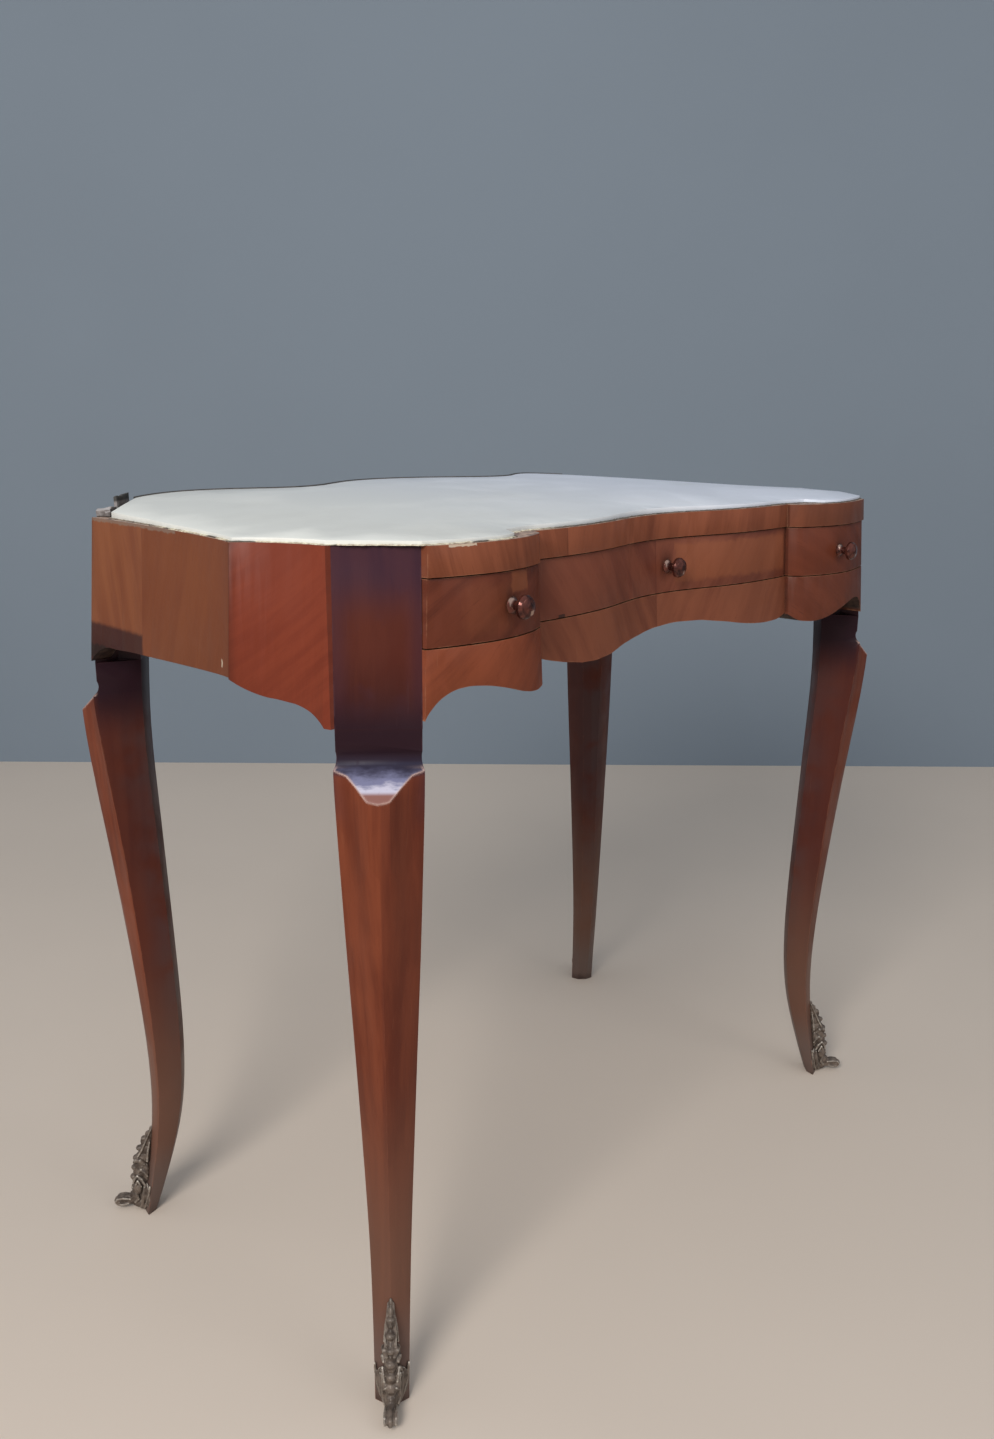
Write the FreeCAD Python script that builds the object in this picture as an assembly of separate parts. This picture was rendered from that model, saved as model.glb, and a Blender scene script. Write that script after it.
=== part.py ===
import FreeCAD, Part
import math
import os

os.makedirs("parts", exist_ok=True)
Vec = FreeCAD.Vector

# Case: the rows of its front stacked on the lower end of the legs' bands, corner places, lean of its walls
band_end_z = 607.0
apron_height = 58.0
drawer_row_height = 52.0
rail_height = 23.0
apron_top_z = band_end_z + apron_height
rail_low_z = apron_top_z + drawer_row_height
case_top_z = rail_low_z + rail_height
corner_x = 364.0
corner_y = 187.0
lean_share = 0.063
origin_shift_y = 9.4
# All heights are counted from a line this far below the floor
floor_z = 8.5
cut_over = 500.0
point_match = 0.001

# Legs: heads that stand in the case, between the ends of its walls and a little behind their faces
band_half = 36.8
band_recess = 4.4
head_cheek = -21.0
head_back = -30.0
head_back_half = 15.8

# Legs: height, arris, depth of the front ridge, half width, back, back half width, share of the knee nose.
# The heights are those of the measured leg and stretch with the height of its band's lower end
leg_stations = [
    (floor_z, 10.9, 8.2, 14.6, -2.8, 6.1, 0.0),
    (35.0, 7.5, 9.0, 15.0, -11.5, 6.5, 0.0),
    (70.0, 1.5, 9.5, 15.6, -22.0, 7.0, 0.0),
    (105.0, -3.2, 10.5, 16.4, -31.0, 7.5, 0.0),
    (160.0, -5.7, 12.0, 18.0, -38.8, 8.0, 0.0),
    (230.0, -2.5, 14.5, 20.8, -40.5, 8.5, 0.0),
    (300.0, 4.0, 17.5, 23.7, -38.5, 9.0, 0.05),
    (400.0, 15.3, 21.5, 28.0, -34.0, 10.5, 0.2),
    (470.0, 24.2, 23.5, 30.7, -30.5, 12.3, 0.5),
    (516.0, 28.8, 23.0, 32.3, -28.5, 13.2, 0.8),
    (556.0, 31.2, 21.3, 33.5, -28.2, 14.2, 1.0),
    (607.0, 31.4, 21.0, 33.5, head_back, head_back_half, 1.0),
]
nose_shares = [(1.0, 0.0), (0.72, 0.15), (0.5, 0.5), (0.25, 0.93), (0.0, 1.0)]
ridge_shares = [(1.0, 0.0), (0.72, 0.32), (0.5, 0.56), (0.25, 0.82), (0.0, 1.0)]

# Legs: the scooped seat above the knee, as places outward and drops below the band's lower end
neck_face = 7.45
neck_drop = 17.0
scoop_bend = (6.8, 25.0)
scoop_turn = (10.5, 30.0)
scoop_tip = (31.2, 50.5)
scoop_out = (62.0, 81.0)

# Foot mounts
mount_skin = 2.4
mount_skin_stations = 5
mount_reach_z = 112.0
mount_back_low = 9.0
mount_back_high = -36.0
leaf_outline = [
    (0.0, 108.0), (2.6, 99.0), (4.0, 91.0), (3.4, 86.5), (5.2, 79.0), (6.2, 71.0), (5.2, 66.5),
    (7.2, 57.0), (8.2, 48.5), (7.0, 43.5), (9.2, 35.0), (10.0, 25.0), (9.2, floor_z),
]
rib_outline = [
    (-3.0, 105.0), (3.5, 96.0), (9.5, 88.0), (14.0, 76.0), (18.5, 62.0), (20.5, 48.0), (22.5, 36.0),
    (27.5, 28.0), (36.0, 22.9),
]
rib_low = [(36.0, 12.1), (25.0, 9.0), (13.0, floor_z)]
rib_inner = -8.0
rib_half = 3.6
scroll_place = (36.0, 17.5)
scroll_radius = 5.4
scroll_half = 5.0
scroll_eye_radius = 3.2
scroll_eye_half = 6.2
pin_radius = 1.3
pin_length = 9.9
pin_places = [(6.0, 20.0), (-6.0, 20.0)]
pin_front = 12.2

# Plan lines of the case at its top, right half of the front and back, all of the right end
front_end_line = [
    (350.0, -208.0), (339.3, -211.7), (309.0, -219.5), (281.0, -223.5), (248.0, -221.0),
    (222.0, -213.0), (208.5, -205.0), (203.0, -196.5),
]
front_middle_line = [
    (203.0, -193.0), (160.0, -194.0), (125.0, -192.0), (90.0, -186.5), (60.0, -179.0),
    (30.0, -173.0), (0.0, -171.0),
]
end_long_line = [
    (387.5, 172.0), (388.7, 162.3), (391.0, 127.0), (394.0, 87.0), (398.0, 51.0), (402.0, 19.0),
    (407.0, -15.0), (413.0, -50.0), (420.0, -82.0), (424.0, -95.0),
]
end_lobe_line = [
    (424.0, -95.0), (414.5, -104.5), (405.5, -117.0), (398.0, -132.0), (392.0, -148.0),
    (388.7, -162.3), (386.5, -172.0),
]
back_line = [
    (350.0, 207.0), (339.3, 211.7), (300.0, 218.0), (265.0, 219.5), (230.0, 208.0), (200.0, 190.0),
    (175.0, 174.0), (150.0, 168.0), (122.0, 174.0), (90.0, 191.0), (60.0, 207.0), (30.0, 216.5),
    (0.0, 219.5),
]
step_x = 203.0
middle_back_y = -150.0
side_back_y = -184.0
end_thick = 20.0
back_thick = 18.0

# Lower edges of the walls, as place along the wall and height over the band's lower end
side_apron_edge = [
    (372.0, -12.0), (349.0, 1.5), (342.0, 12.0), (333.0, 20.5), (322.0, 25.7), (310.0, 27.3),
    (294.0, 26.0), (268.0, 20.0), (250.0, 14.5), (234.0, 11.3), (219.0, 10.6), (208.0, 13.0),
    (203.0, 18.5),
]
middle_apron_edge = [
    (203.0, 15.5), (190.0, 11.8), (165.0, 10.8), (140.0, 11.8), (115.0, 14.5), (90.0, 18.8),
    (60.0, 24.0), (30.0, 27.6), (0.0, 28.6),
]
end_long_edge = [
    (172.0, 0.0), (160.0, 10.0), (145.0, 17.5), (110.0, 21.0), (50.0, 24.0), (-20.0, 28.0),
    (-95.0, 33.0),
]
end_lobe_edge = [
    (-95.0, 32.0), (-103.0, 25.0), (-114.0, 19.8), (-128.0, 17.3), (-142.0, 14.5),
    (-153.0, 9.5), (-162.5, 1.0), (-168.0, -9.0),
]

# Boards inside the case and the rail over the drawers, which stands proud of the fronts below
rail_proud = 2.0
board_top = 12.0
runner_height = 14.0
side_runner = (304.0, 345.0)
side_guide = (322.4, 345.0)
guide_height = 24.0
guide_reach = 147.0
inner_runner = (181.0, 225.0)
divider = (197.0, 209.0)
divider_front_gap = 0.5
kicker_height = 14.0
side_kicker = (312.0, 345.0)
kicker_width = 14.0
block_side = 16.0
block_length = 46.0
block_places_y = [70.0, -40.0]

# Drawers
front_gap = 1.0
leg_gap = 0.8
board_side = 9.0
slide_gap = 0.7
box_clearance = 8.0
box_height = drawer_row_height - box_clearance
box_back_y = 140.0
base_thick = 5.0
base_rise = 4.0
groove_depth = 4.0
box_back_thick = 9.0
tail_length = 11.0
tail_root = 8.0
tail_tip = 12.0
tail_centres = [14.0, 31.0]
stop_gap = 0.5
stop_length = 9.0
stop_height = 14.0
stop_width = 14.0

# Knobs
knob_rise = 25.0
knob_z = apron_top_z + knob_rise
knob_left_x = -261.0
knob_middle_x = 18.0
knob_right_x = 265.0
knob_shank_radius = 3.2
knob_shank_length = 13.0
knob_seat_depth = 1.2
knob_outline = [
    (6.6, 0.0), (6.6, 1.6), (3.7, 4.4), (3.7, 8.6), (9.4, 12.8), (9.4, 15.4), (7.6, 18.0), (2.4, 19.6),
]

# Table top and what lies round it
top_edge = 3.0
top_rise = 13.5
top_half_x = 402.0
top_span_y = 400.0
top_back_y = 205.0
top_power_x = 4.0
top_power_y = 2.4
crown_steps = 13
crown_high = 30.0
top_front_end_line = [
    (339.0, -208.5), (309.0, -216.5), (281.0, -220.5), (258.0, -219.0), (247.0, -215.0),
]
top_front_middle_line = [
    (236.0, -196.0), (203.0, -189.5), (160.0, -190.5), (125.0, -189.0), (90.0, -183.5), (60.0, -176.0),
    (30.0, -170.0), (0.0, -168.0),
]
top_end_lobe_line = [(420.0, -93.0), (411.0, -103.0), (402.0, -116.0), (394.5, -131.5), (386.0, -159.0)]
top_end_long_line = [
    (382.5, 138.0), (387.5, 100.0), (391.0, 70.0), (395.0, 45.0), (399.0, 17.0), (404.0, -17.0),
    (410.0, -52.0), (417.0, -83.0), (420.0, -93.0),
]
top_back_line = [
    (318.0, 205.0), (300.0, 212.0), (265.0, 215.0), (230.0, 204.0), (200.0, 186.0), (175.0, 170.5),
    (150.0, 164.5), (122.0, 170.0), (90.0, 186.5), (60.0, 202.5), (30.0, 212.5), (0.0, 215.5),
]
lip_width = 3.2
lip_proud = 1.0
lip_steps = 15
corner_rest = [(384.0, 152.0), (387.0, 161.5), (341.0, 208.5), (328.0, 206.0), (379.5, 148.0)]
corner_rest_heights = (4.0, 12.0)


def plan(points, z, side=1.0, shift=(0.0, 0.0)):
    return [Vec(side * (x + shift[0]), y + shift[1], z) for x, y in points]


def tangent_at(points, place):
    # Direction at a point of the circle through it and its neighbours
    middle = min(max(place, 1), len(points) - 2)
    before = points[middle] - points[middle - 1]
    after = points[middle + 1] - points[middle]
    tangent = before * (after.Length / before.Length) + after * (before.Length / after.Length)
    tangent.normalize()
    chord = before if place < middle else after
    if place != middle:
        chord.normalize()
        tangent = chord * (2.0 * tangent.dot(chord)) - tangent
    return tangent


def arc(start, end, way):
    # Arc from start to end that sets out along way
    chord = end - start
    along = Vec(chord).normalize()
    bow = way - along * way.dot(along)
    if bow.Length < point_match:
        return Part.LineSegment(start, end).toShape()
    top = (start + end) * 0.5 + bow * (chord.Length / 2.0 / (1.0 + way.dot(along)))
    return Part.Arc(start, top, end).toShape()


def curve(points):
    # Smooth line through the points, made of pairs of arcs that meet without a kink
    if len(points) == 2:
        return [Part.LineSegment(points[0], points[1]).toShape()]
    ways = [tangent_at(points, place) for place in range(len(points))]
    edges = []
    for start, end, out, back in zip(points, points[1:], ways, ways[1:]):
        chord = end - start
        both_ways = out + back
        turn = 2.0 * (1.0 - out.dot(back))
        pull = chord.dot(both_ways)
        reach = chord.dot(chord) / (pull + math.sqrt(pull * pull + turn * chord.dot(chord)))
        join = (start + end + (out - back) * reach) * 0.5
        edges.append(arc(start, join, out))
        edges.append(arc(end, join, -back))
    return edges


def loop(runs):
    edges = []
    count = len(runs)
    for place, run in enumerate(runs):
        edges += curve(run)
        following = runs[(place + 1) % count]
        if not run[-1].isEqual(following[0], point_match):
            edges.append(Part.LineSegment(run[-1], following[0]).toShape())
    return Part.Wire(edges)


def prism(runs, along):
    return Part.Face(loop(runs)).extrude(along)


def polygon_prism(ring, along):
    return Part.Face(Part.makePolygon(ring + ring[:1])).extrude(along)


def box(x_pair, y_pair, z_pair):
    low = Vec(min(x_pair), min(y_pair), min(z_pair))
    high = Vec(max(x_pair), max(y_pair), max(z_pair))
    size = high - low
    return Part.makeBox(size.x, size.y, size.z, low)


def both(points):
    other = [(-x, y) for x, y in points]
    return other + [point for point in reversed(points[:-1])]


def lean_at(z):
    return lean_share * (case_top_z - z)


def wall(outer_runs, inner_run, low, high, side, lean_way):
    # A board whose faces lean outward going down
    lean = lean_at(high)
    shift = (lean_way[0] * lean, lean_way[1] * lean)
    runs = [plan(run, high, side, shift) for run in outer_runs + [inner_run]]
    drop = high - low
    slide = lean_share * drop
    return prism(runs, Vec(side * lean_way[0] * slide, lean_way[1] * slide, -drop))


def plumb(shape, back_y):
    # Planes the back of a leaning front board upright
    return shape.cut(box((-cut_over, cut_over), (back_y, cut_over), (0.0, case_top_z + cut_over)))


def corner_solid(low, high, reach, gap):
    # Wedge shaped head of a leg; with a reach it also takes in what lies outside the canted band
    drop = high - low
    face = math.sqrt(2.0) * lean_at(high)
    cheek_half = head_back_half + gap
    points = [(face, band_half + gap), (head_cheek + face, cheek_half), (head_back - cut_over, cheek_half)]
    if reach > 0.0:
        points.insert(0, (face + reach, band_half + gap))
    else:
        points[0] = (face - band_recess, band_half - band_recess)
    ring = [Vec(out, across, high) for out, across in points]
    ring += [Vec(out, -across, high) for out, across in reversed(points)]
    solid = polygon_prism(ring, Vec(math.sqrt(2.0) * lean_share * drop, 0.0, -drop))
    behind = (head_back - gap - cut_over - cut_over, head_back - gap)
    return solid.cut(box(behind, (-cut_over, cut_over), (low - cut_over, high + cut_over)))


def at_corner(shape, side_x, side_y):
    placed = shape.copy()
    turn = math.degrees(math.atan2(side_y, side_x))
    placed.rotate(Vec(0.0, 0.0, 0.0), Vec(0.0, 0.0, 1.0), turn)
    placed.translate(Vec(side_x * corner_x, side_y * corner_y, 0.0))
    return placed


def leg_ring(station, skin):
    drawn_z, arris, ridge, half, back, back_half, nose = station
    stretch = (band_end_z - floor_z) / (leg_stations[-1][0] - floor_z)
    z = floor_z + stretch * (drawn_z - floor_z)
    front = []
    for nose_point, ridge_point in zip(nose_shares, ridge_shares):
        across = (half + skin) * nose_point[0]
        rise = nose * nose_point[1] + (1.0 - nose) * ridge_point[1]
        front.append((arris + skin - ridge * (1.0 - rise), across))
    ring = [Vec(out, across, z) for out, across in front]
    ring += [Vec(out, -across, z) for out, across in reversed(front[:-1])]
    ring += [Vec(back, -back_half - skin, z), Vec(back, back_half + skin, z)]
    return Part.makePolygon(ring + ring[:1])


def leg_blank(skin, count):
    return Part.makeLoft([leg_ring(station, skin) for station in leg_stations[:count]], True, False)


def scoop_cutter():
    across = Vec(0.0, -cut_over, 0.0)
    high = Vec(neck_face, 0.0, band_end_z + cut_over)
    places = [(neck_face, neck_drop), scoop_bend, scoop_turn, scoop_tip, scoop_out]
    points = [Vec(out, 0.0, band_end_z - drop) for out, drop in places]
    outside = Vec(points[-1].x, 0.0, high.z)
    runs = [[high, points[0]], points[:3], points[2:4], [points[4], outside]]
    return prism([[point + across for point in run] for run in runs], -across - across)


def make_pin(across, z):
    return Part.makeCylinder(pin_radius, pin_length, Vec(pin_front, across, z), Vec(-1.0, 0.0, 0.0))


def make_leg():
    shank = leg_blank(0.0, len(leg_stations)).cut(scoop_cutter())
    head = corner_solid(band_end_z, case_top_z, 0.0, 0.0)
    return shank.fuse(head)


def make_mount(leg):
    skin = leg_blank(mount_skin, mount_skin_stations)
    way = Vec(cut_over + cut_over, 0.0, 0.0)
    start = -cut_over
    right = [Vec(start, across, z) for across, z in leaf_outline]
    left = [Vec(start, -across, z) for across, z in reversed(leaf_outline)]
    leaf = polygon_prism(right + left[:-1], way)
    behind = [
        Vec(mount_back_low, 0.0, -cut_over), Vec(mount_back_low, 0.0, floor_z),
        Vec(mount_back_high, 0.0, mount_reach_z), Vec(-cut_over, 0.0, mount_reach_z),
        Vec(-cut_over, 0.0, -cut_over),
    ]
    behind = [point - Vec(0.0, cut_over, 0.0) for point in behind]
    rear = polygon_prism(behind, Vec(0.0, cut_over + cut_over, 0.0))
    shell = skin.common(leaf).cut(rear)
    drop = Vec(0.0, -rib_half, 0.0)
    outer = [Vec(out, 0.0, z) + drop for out, z in rib_outline]
    low = [Vec(out, 0.0, z) + drop for out, z in rib_low]
    inner = [Vec(rib_inner, 0.0, rib_low[-1][1]) + drop, Vec(rib_inner, 0.0, rib_outline[0][1]) + drop]
    rib = prism([outer, low, inner], -drop - drop)
    out, z = scroll_place
    across = Vec(0.0, 1.0, 0.0)
    scroll = Part.makeCylinder(scroll_radius, 2.0 * scroll_half, Vec(out, -scroll_half, z), across)
    eye = Part.makeCylinder(scroll_eye_radius, 2.0 * scroll_eye_half, Vec(out, -scroll_eye_half, z), across)
    whole = shell.fuse(rib).fuse(scroll).fuse(eye).cut(leg)
    return largest(whole)


def under_cutter(edge, side, along_y):
    # Waste below a wall's shaped lower edge, cut straight through the wall
    line = [(place, band_end_z + rise) for place, rise in edge]
    floor = min(z for place, z in line) - cut_over
    corners = [(line[-1][0], floor), (line[0][0], floor)]
    if along_y:
        start = Vec(0.0, -cut_over, 0.0)
        runs = [[Vec(side * place, 0.0, z) + start for place, z in run] for run in (line, corners)]
        return prism(runs, -start - start)
    runs = [[Vec(0.0, place, z) for place, z in run] for run in (line, corners)]
    return prism(runs, Vec(side * cut_over, 0.0, 0.0))


def front_runs(gap):
    end = [(x, y) for x, y in front_end_line]
    end[-1] = (step_x + gap, end[-1][1])
    middle = both(front_middle_line)
    middle[0] = (-step_x + gap, middle[0][1])
    middle[-1] = (step_x - gap, middle[-1][1])
    return end, middle


def without_corners(shape, gap):
    for side_x in (-1.0, 1.0):
        for side_y in (-1.0, 1.0):
            reach = corner_solid(band_end_z - cut_over, case_top_z + front_gap, cut_over, gap)
            shape = shape.cut(at_corner(reach, side_x, side_y))
    return shape


def make_rail():
    end, middle = front_runs(0.0)
    left = [(-x, y) for x, y in end]
    right = [point for point in reversed(end)]
    inner = [(end[0][0], middle_back_y + end_thick), (-end[0][0], middle_back_y + end_thick)]
    rail = wall([left, middle, right], inner, rail_low_z, case_top_z, 1.0, (0.0, -1.0))
    rail.translate(Vec(0.0, -rail_proud, 0.0))
    return without_corners(plumb(rail, middle_back_y), 0.0)


def side_piece(low, high, gap, side):
    end, middle = front_runs(gap)
    inner = [(x, side_back_y + end_thick) for x in (end[-1][0], end[0][0])]
    return plumb(wall([end], inner, low, high, side, (0.0, -1.0)), side_back_y)


def middle_piece(low, high, gap):
    end, middle = front_runs(gap)
    inner = [(x, middle_back_y + end_thick) for x in (middle[-1][0], middle[0][0])]
    return plumb(wall([middle], inner, low, high, 1.0, (0.0, -1.0)), middle_back_y)


def make_side_apron(side):
    apron = side_piece(band_end_z, apron_top_z, 0.0, side)
    apron = apron.cut(under_cutter(side_apron_edge, side, True))
    return without_corners(apron, 0.0)


def make_middle_apron():
    low = band_end_z + min(rise for place, rise in middle_apron_edge)
    apron = middle_piece(low, apron_top_z, 0.0)
    return apron.cut(under_cutter(both(middle_apron_edge), 1.0, True))


def make_end_long(side):
    inner = [(x - end_thick, y) for x, y in reversed(end_long_line)]
    panel = wall([end_long_line], inner, band_end_z, case_top_z, side, (1.0, 0.0))
    panel = panel.cut(under_cutter(end_long_edge, side, False))
    return without_corners(panel, 0.0)


def make_end_lobe(side):
    root = end_lobe_line[0][0] - end_thick
    inner = [(end_lobe_line[-1][0] - end_thick, end_lobe_line[-1][1]), (root, end_lobe_line[0][1])]
    panel = wall([end_lobe_line], inner, band_end_z, case_top_z, side, (1.0, 0.0))
    panel = panel.cut(under_cutter(end_lobe_edge, side, False))
    return without_corners(panel, 0.0)


def make_back():
    line = both(back_line)
    inner = [(x, y - back_thick) for x, y in reversed(line)]
    panel = wall([line], inner, band_end_z, case_top_z, 1.0, (0.0, 1.0))
    for side in (-1.0, 1.0):
        panel = panel.cut(under_cutter(side_apron_edge, side, True))
    panel = panel.cut(under_cutter(both(middle_apron_edge), 1.0, True))
    return without_corners(panel, 0.0)


def crown_at(x, y):
    across = 1.0 - min(1.0, abs(x) / top_half_x) ** top_power_x
    deep = 1.0 - min(1.0, max(0.0, top_back_y - y) / top_span_y) ** top_power_y
    return top_edge + top_rise * across * deep


def crown_cutter():
    # Everything above the gently domed face of the table top
    reach = end_long_line[-1][0] + end_thick
    places = [reach * (2.0 * i / (crown_steps - 1) - 1.0) for i in range(crown_steps)]
    face = Part.BSplineSurface()
    face.interpolate([[Vec(x, y, case_top_z + crown_at(x, y)) for y in places] for x in places])
    return face.toShape().extrude(Vec(0.0, 0.0, crown_high))


def top_outline():
    half = [
        top_back_line[::-1], top_end_long_line, top_end_lobe_line, top_front_end_line,
        top_front_middle_line,
    ]
    other = [[(-x, y) for x, y in reversed(run)] for run in reversed(half)]
    middle_front = half[-1] + other[0][1:]
    middle_back = other[-1] + half[0][1:]
    runs = [middle_back] + half[1:-1] + [middle_front] + other[1:-1]
    return [[Vec(x, y, case_top_z) for x, y in run] for run in runs]


def make_top():
    slab = prism(top_outline(), Vec(0.0, 0.0, crown_high))
    return slab.cut(crown_cutter())


def make_lip():
    # Thin strip behind the table top, whose upper edge follows the crown at the back
    inner = both(top_back_line)
    outer = [(x, y + lip_width) for x, y in reversed(inner)]
    runs = [[Vec(x, y, case_top_z) for x, y in run] for run in (inner, outer)]
    strip = prism(runs, Vec(0.0, 0.0, crown_high))
    edge = []
    for i in range(lip_steps):
        x = inner[0][0] * (1.0 - 2.0 * i / (lip_steps - 1))
        edge.append(Vec(x, 0.0, case_top_z + lip_proud + crown_at(x, top_back_y)))
    sky = [Vec(edge[-1].x, 0.0, edge[-1].z + crown_high), Vec(edge[0].x, 0.0, edge[0].z + crown_high)]
    return strip.cut(prism([edge, sky], Vec(0.0, cut_over, 0.0)))


def make_corner_rest(side):
    ring = [Vec(side * x, y, case_top_z) for x, y in corner_rest]
    low, high = corner_rest_heights
    block = polygon_prism(ring, Vec(0.0, 0.0, high))
    # The rest is broken off to a slope, lower toward the canted corner
    foot = case_top_z + low
    brow = case_top_z + high
    slope = [
        Vec(0.0, -cut_over, foot), Vec(band_half, -cut_over, brow + high),
        Vec(0.0, -cut_over, brow + high),
    ]
    waste = polygon_prism(slope, Vec(0.0, cut_over + cut_over, 0.0))
    waste.rotate(Vec(0.0, 0.0, 0.0), Vec(0.0, 0.0, 1.0), 180.0)
    return block.cut(at_corner(waste, side, 1.0))


def mirrored(pair, side):
    return [side * x for x in pair]


def trimmed(shape, cutters):
    for cutter in cutters:
        shape = shape.cut(cutter)
    return shape


def largest(shape):
    return max(shape.Solids, key=lambda solid: solid.Volume)


def inside_of(shape, shell):
    # Cuts a board to the walls it meets and keeps the piece nearest to the middle of the case
    middle = Part.Vertex(0.0, 0.0, shape.BoundBox.Center.z)
    return min(trimmed(shape, shell).Solids, key=lambda solid: solid.distToShape(middle)[0])


nodes = {}
sides = {"left": -1.0, "right": 1.0}
corners = {
    "front_left": (-1.0, -1.0), "front_right": (1.0, -1.0),
    "back_left": (-1.0, 1.0), "back_right": (1.0, 1.0),
}


def add(name, shape):
    nodes[name] = shape


def make_box_side(x_pair, front_y, left):
    low = apron_top_z + front_gap
    board = box(x_pair, (front_y, box_back_y), (low, low + box_height))
    inner = max(x_pair) if left else min(x_pair)
    bed = inner - groove_depth if left else inner + groove_depth
    seat = low + base_rise
    groove_y = (front_y - cut_over, box_back_y + cut_over)
    groove = box((bed, inner + inner - bed), groove_y, (seat, seat + base_thick))
    board = board.cut(groove)
    for centre in tail_centres:
        z = low + centre
        root_z = (z - tail_root / 2.0, z + tail_root / 2.0)
        tip_z = (z + tail_tip / 2.0, z - tail_tip / 2.0)
        ring = [Vec(min(x_pair), front_y, height) for height in root_z]
        ring += [Vec(min(x_pair), front_y - tail_length, height) for height in tip_z]
        board = board.fuse(polygon_prism(ring, Vec(board_side, 0.0, 0.0)))
    return board.removeSplitter()


def make_knob(surface_y, x):
    floor = Vec(x, surface_y + knob_seat_depth, knob_z)
    ring = [Vec(x + radius, floor.y - height, knob_z) for radius, height in knob_outline]
    ring.append(Vec(x, ring[-1].y, knob_z))
    ring.append(Vec(x, floor.y + knob_shank_length, knob_z))
    ring.append(Vec(x + knob_shank_radius, floor.y + knob_shank_length, knob_z))
    ring.append(Vec(x + knob_shank_radius, floor.y, knob_z))
    return Part.Face(Part.makePolygon(ring + ring[:1])).revolve(floor, Vec(0.0, 1.0, 0.0), 360.0)


def front_surface_y(x):
    # Depth of the leaning front at the knob's place and height
    line = both(front_middle_line) if abs(x) < step_x else front_end_line
    edge = Part.Wire(curve([Vec(px, py, 0.0) for px, py in line]))
    place = abs(x) if abs(x) >= step_x else x
    probe = Part.LineSegment(Vec(place, -cut_over, 0.0), Vec(place, 0.0, 0.0)).toShape()
    return edge.distToShape(probe)[1][0][0].y - lean_at(knob_z)


def make_drawer(name, x_pair, front, front_y, knob_x):
    low = apron_top_z + front_gap
    left_pair = (x_pair[0], x_pair[0] + board_side)
    right_pair = (x_pair[1] - board_side, x_pair[1])
    left = make_box_side(left_pair, front_y, True)
    right = make_box_side(right_pair, front_y, False)
    seat = low + base_rise
    inner = (left_pair[1], right_pair[0])
    base_pair = (inner[0] - groove_depth, inner[1] + groove_depth)
    base = box(base_pair, (front_y - groove_depth, box_back_y), (seat, seat + base_thick))
    back_y = (box_back_y - box_back_thick, box_back_y)
    back = box(inner, back_y, (seat + base_thick, low + box_height))
    knob = make_knob(front_surface_y(knob_x), knob_x)
    front = trimmed(front, [left, right, base, knob])
    add(name + "_front", front)
    add(name + "_side_left", left)
    add(name + "_side_right", right)
    add(name + "_bottom", base)
    add(name + "_back", back)
    add(name + "_knob", knob)


def add_legs():
    leg = make_leg()
    pins = [make_pin(across, z) for across, z in pin_places]
    mount = trimmed(make_mount(leg), pins)
    leg = trimmed(leg, pins)
    all_pins = []
    legs = []
    for name, (side_x, side_y) in corners.items():
        legs.append(at_corner(leg, side_x, side_y))
        add("leg_" + name, legs[-1])
        add("foot_mount_" + name, at_corner(mount, side_x, side_y))
        all_pins += [at_corner(pin, side_x, side_y) for pin in pins]
    add("foot_mount_pins", Part.makeCompound(all_pins))
    return legs


def add_walls():
    walls = {"front_rail": make_rail(), "apron_middle": make_middle_apron(), "back_panel": make_back()}
    for word, side in sides.items():
        walls["apron_" + word] = make_side_apron(side)
        walls["end_panel_" + word] = make_end_long(side)
        walls["end_lobe_" + word] = make_end_lobe(side)
    for name, shape in walls.items():
        add(name, shape)
    return list(walls.values())


def add_inner_boards(shell):
    # Boards inside the case, cut to the legs and walls that they meet
    top_low = case_top_z - board_top
    runner_top = apron_top_z + front_gap
    runner_z = (runner_top - runner_height, runner_top)
    kicker_z = (top_low - kicker_height, top_low)
    deep = (side_back_y, cut_over)
    guide_y = (-guide_reach, guide_reach)
    divider_y = (middle_back_y + divider_front_gap, cut_over)
    stop_y = (box_back_y + stop_gap, box_back_y + stop_gap + stop_length)
    wide = (-cut_over, cut_over)
    board = box(wide, (-cut_over, cut_over), (top_low, case_top_z))
    add("case_top_board", inside_of(board, shell))
    groups = ("drawer_runners", "drawer_guides", "drawer_kickers", "glue_blocks", "drawer_stops")
    pieces = {name: [] for name in groups}
    for word, side in sides.items():
        for pair in (side_runner, inner_runner):
            pieces["drawer_runners"].append(inside_of(box(mirrored(pair, side), deep, runner_z), shell))
        guide_z = (runner_top, runner_top + guide_height)
        pieces["drawer_guides"].append(box(mirrored(side_guide, side), guide_y, guide_z))
        post = box(mirrored(divider, side), divider_y, (runner_top, top_low))
        add("drawer_divider_" + word, inside_of(post, shell))
        pieces["drawer_kickers"].append(box(mirrored(side_kicker, side), guide_y, kicker_z))
        for pair in ((divider[0] - kicker_width, divider[0]), (divider[1], divider[1] + kicker_width)):
            strip = box(mirrored(pair, side), (divider_y[0], box_back_y), kicker_z)
            pieces["drawer_kickers"].append(strip)
        for y in block_places_y:
            block_x = mirrored((side_kicker[1], cut_over), side)
            block_y = (y - block_length / 2.0, y + block_length / 2.0)
            block = box(block_x, block_y, (top_low - block_side, top_low))
            pieces["glue_blocks"].append(inside_of(block, shell))
        for x in (side_runner[0], inner_runner[1] - stop_width, inner_runner[0]):
            stop_z = (runner_top, runner_top + stop_height)
            pieces["drawer_stops"].append(box(mirrored((x, x + stop_width), side), stop_y, stop_z))
    for name, solids in pieces.items():
        add(name, Part.makeCompound(solids))


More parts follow.
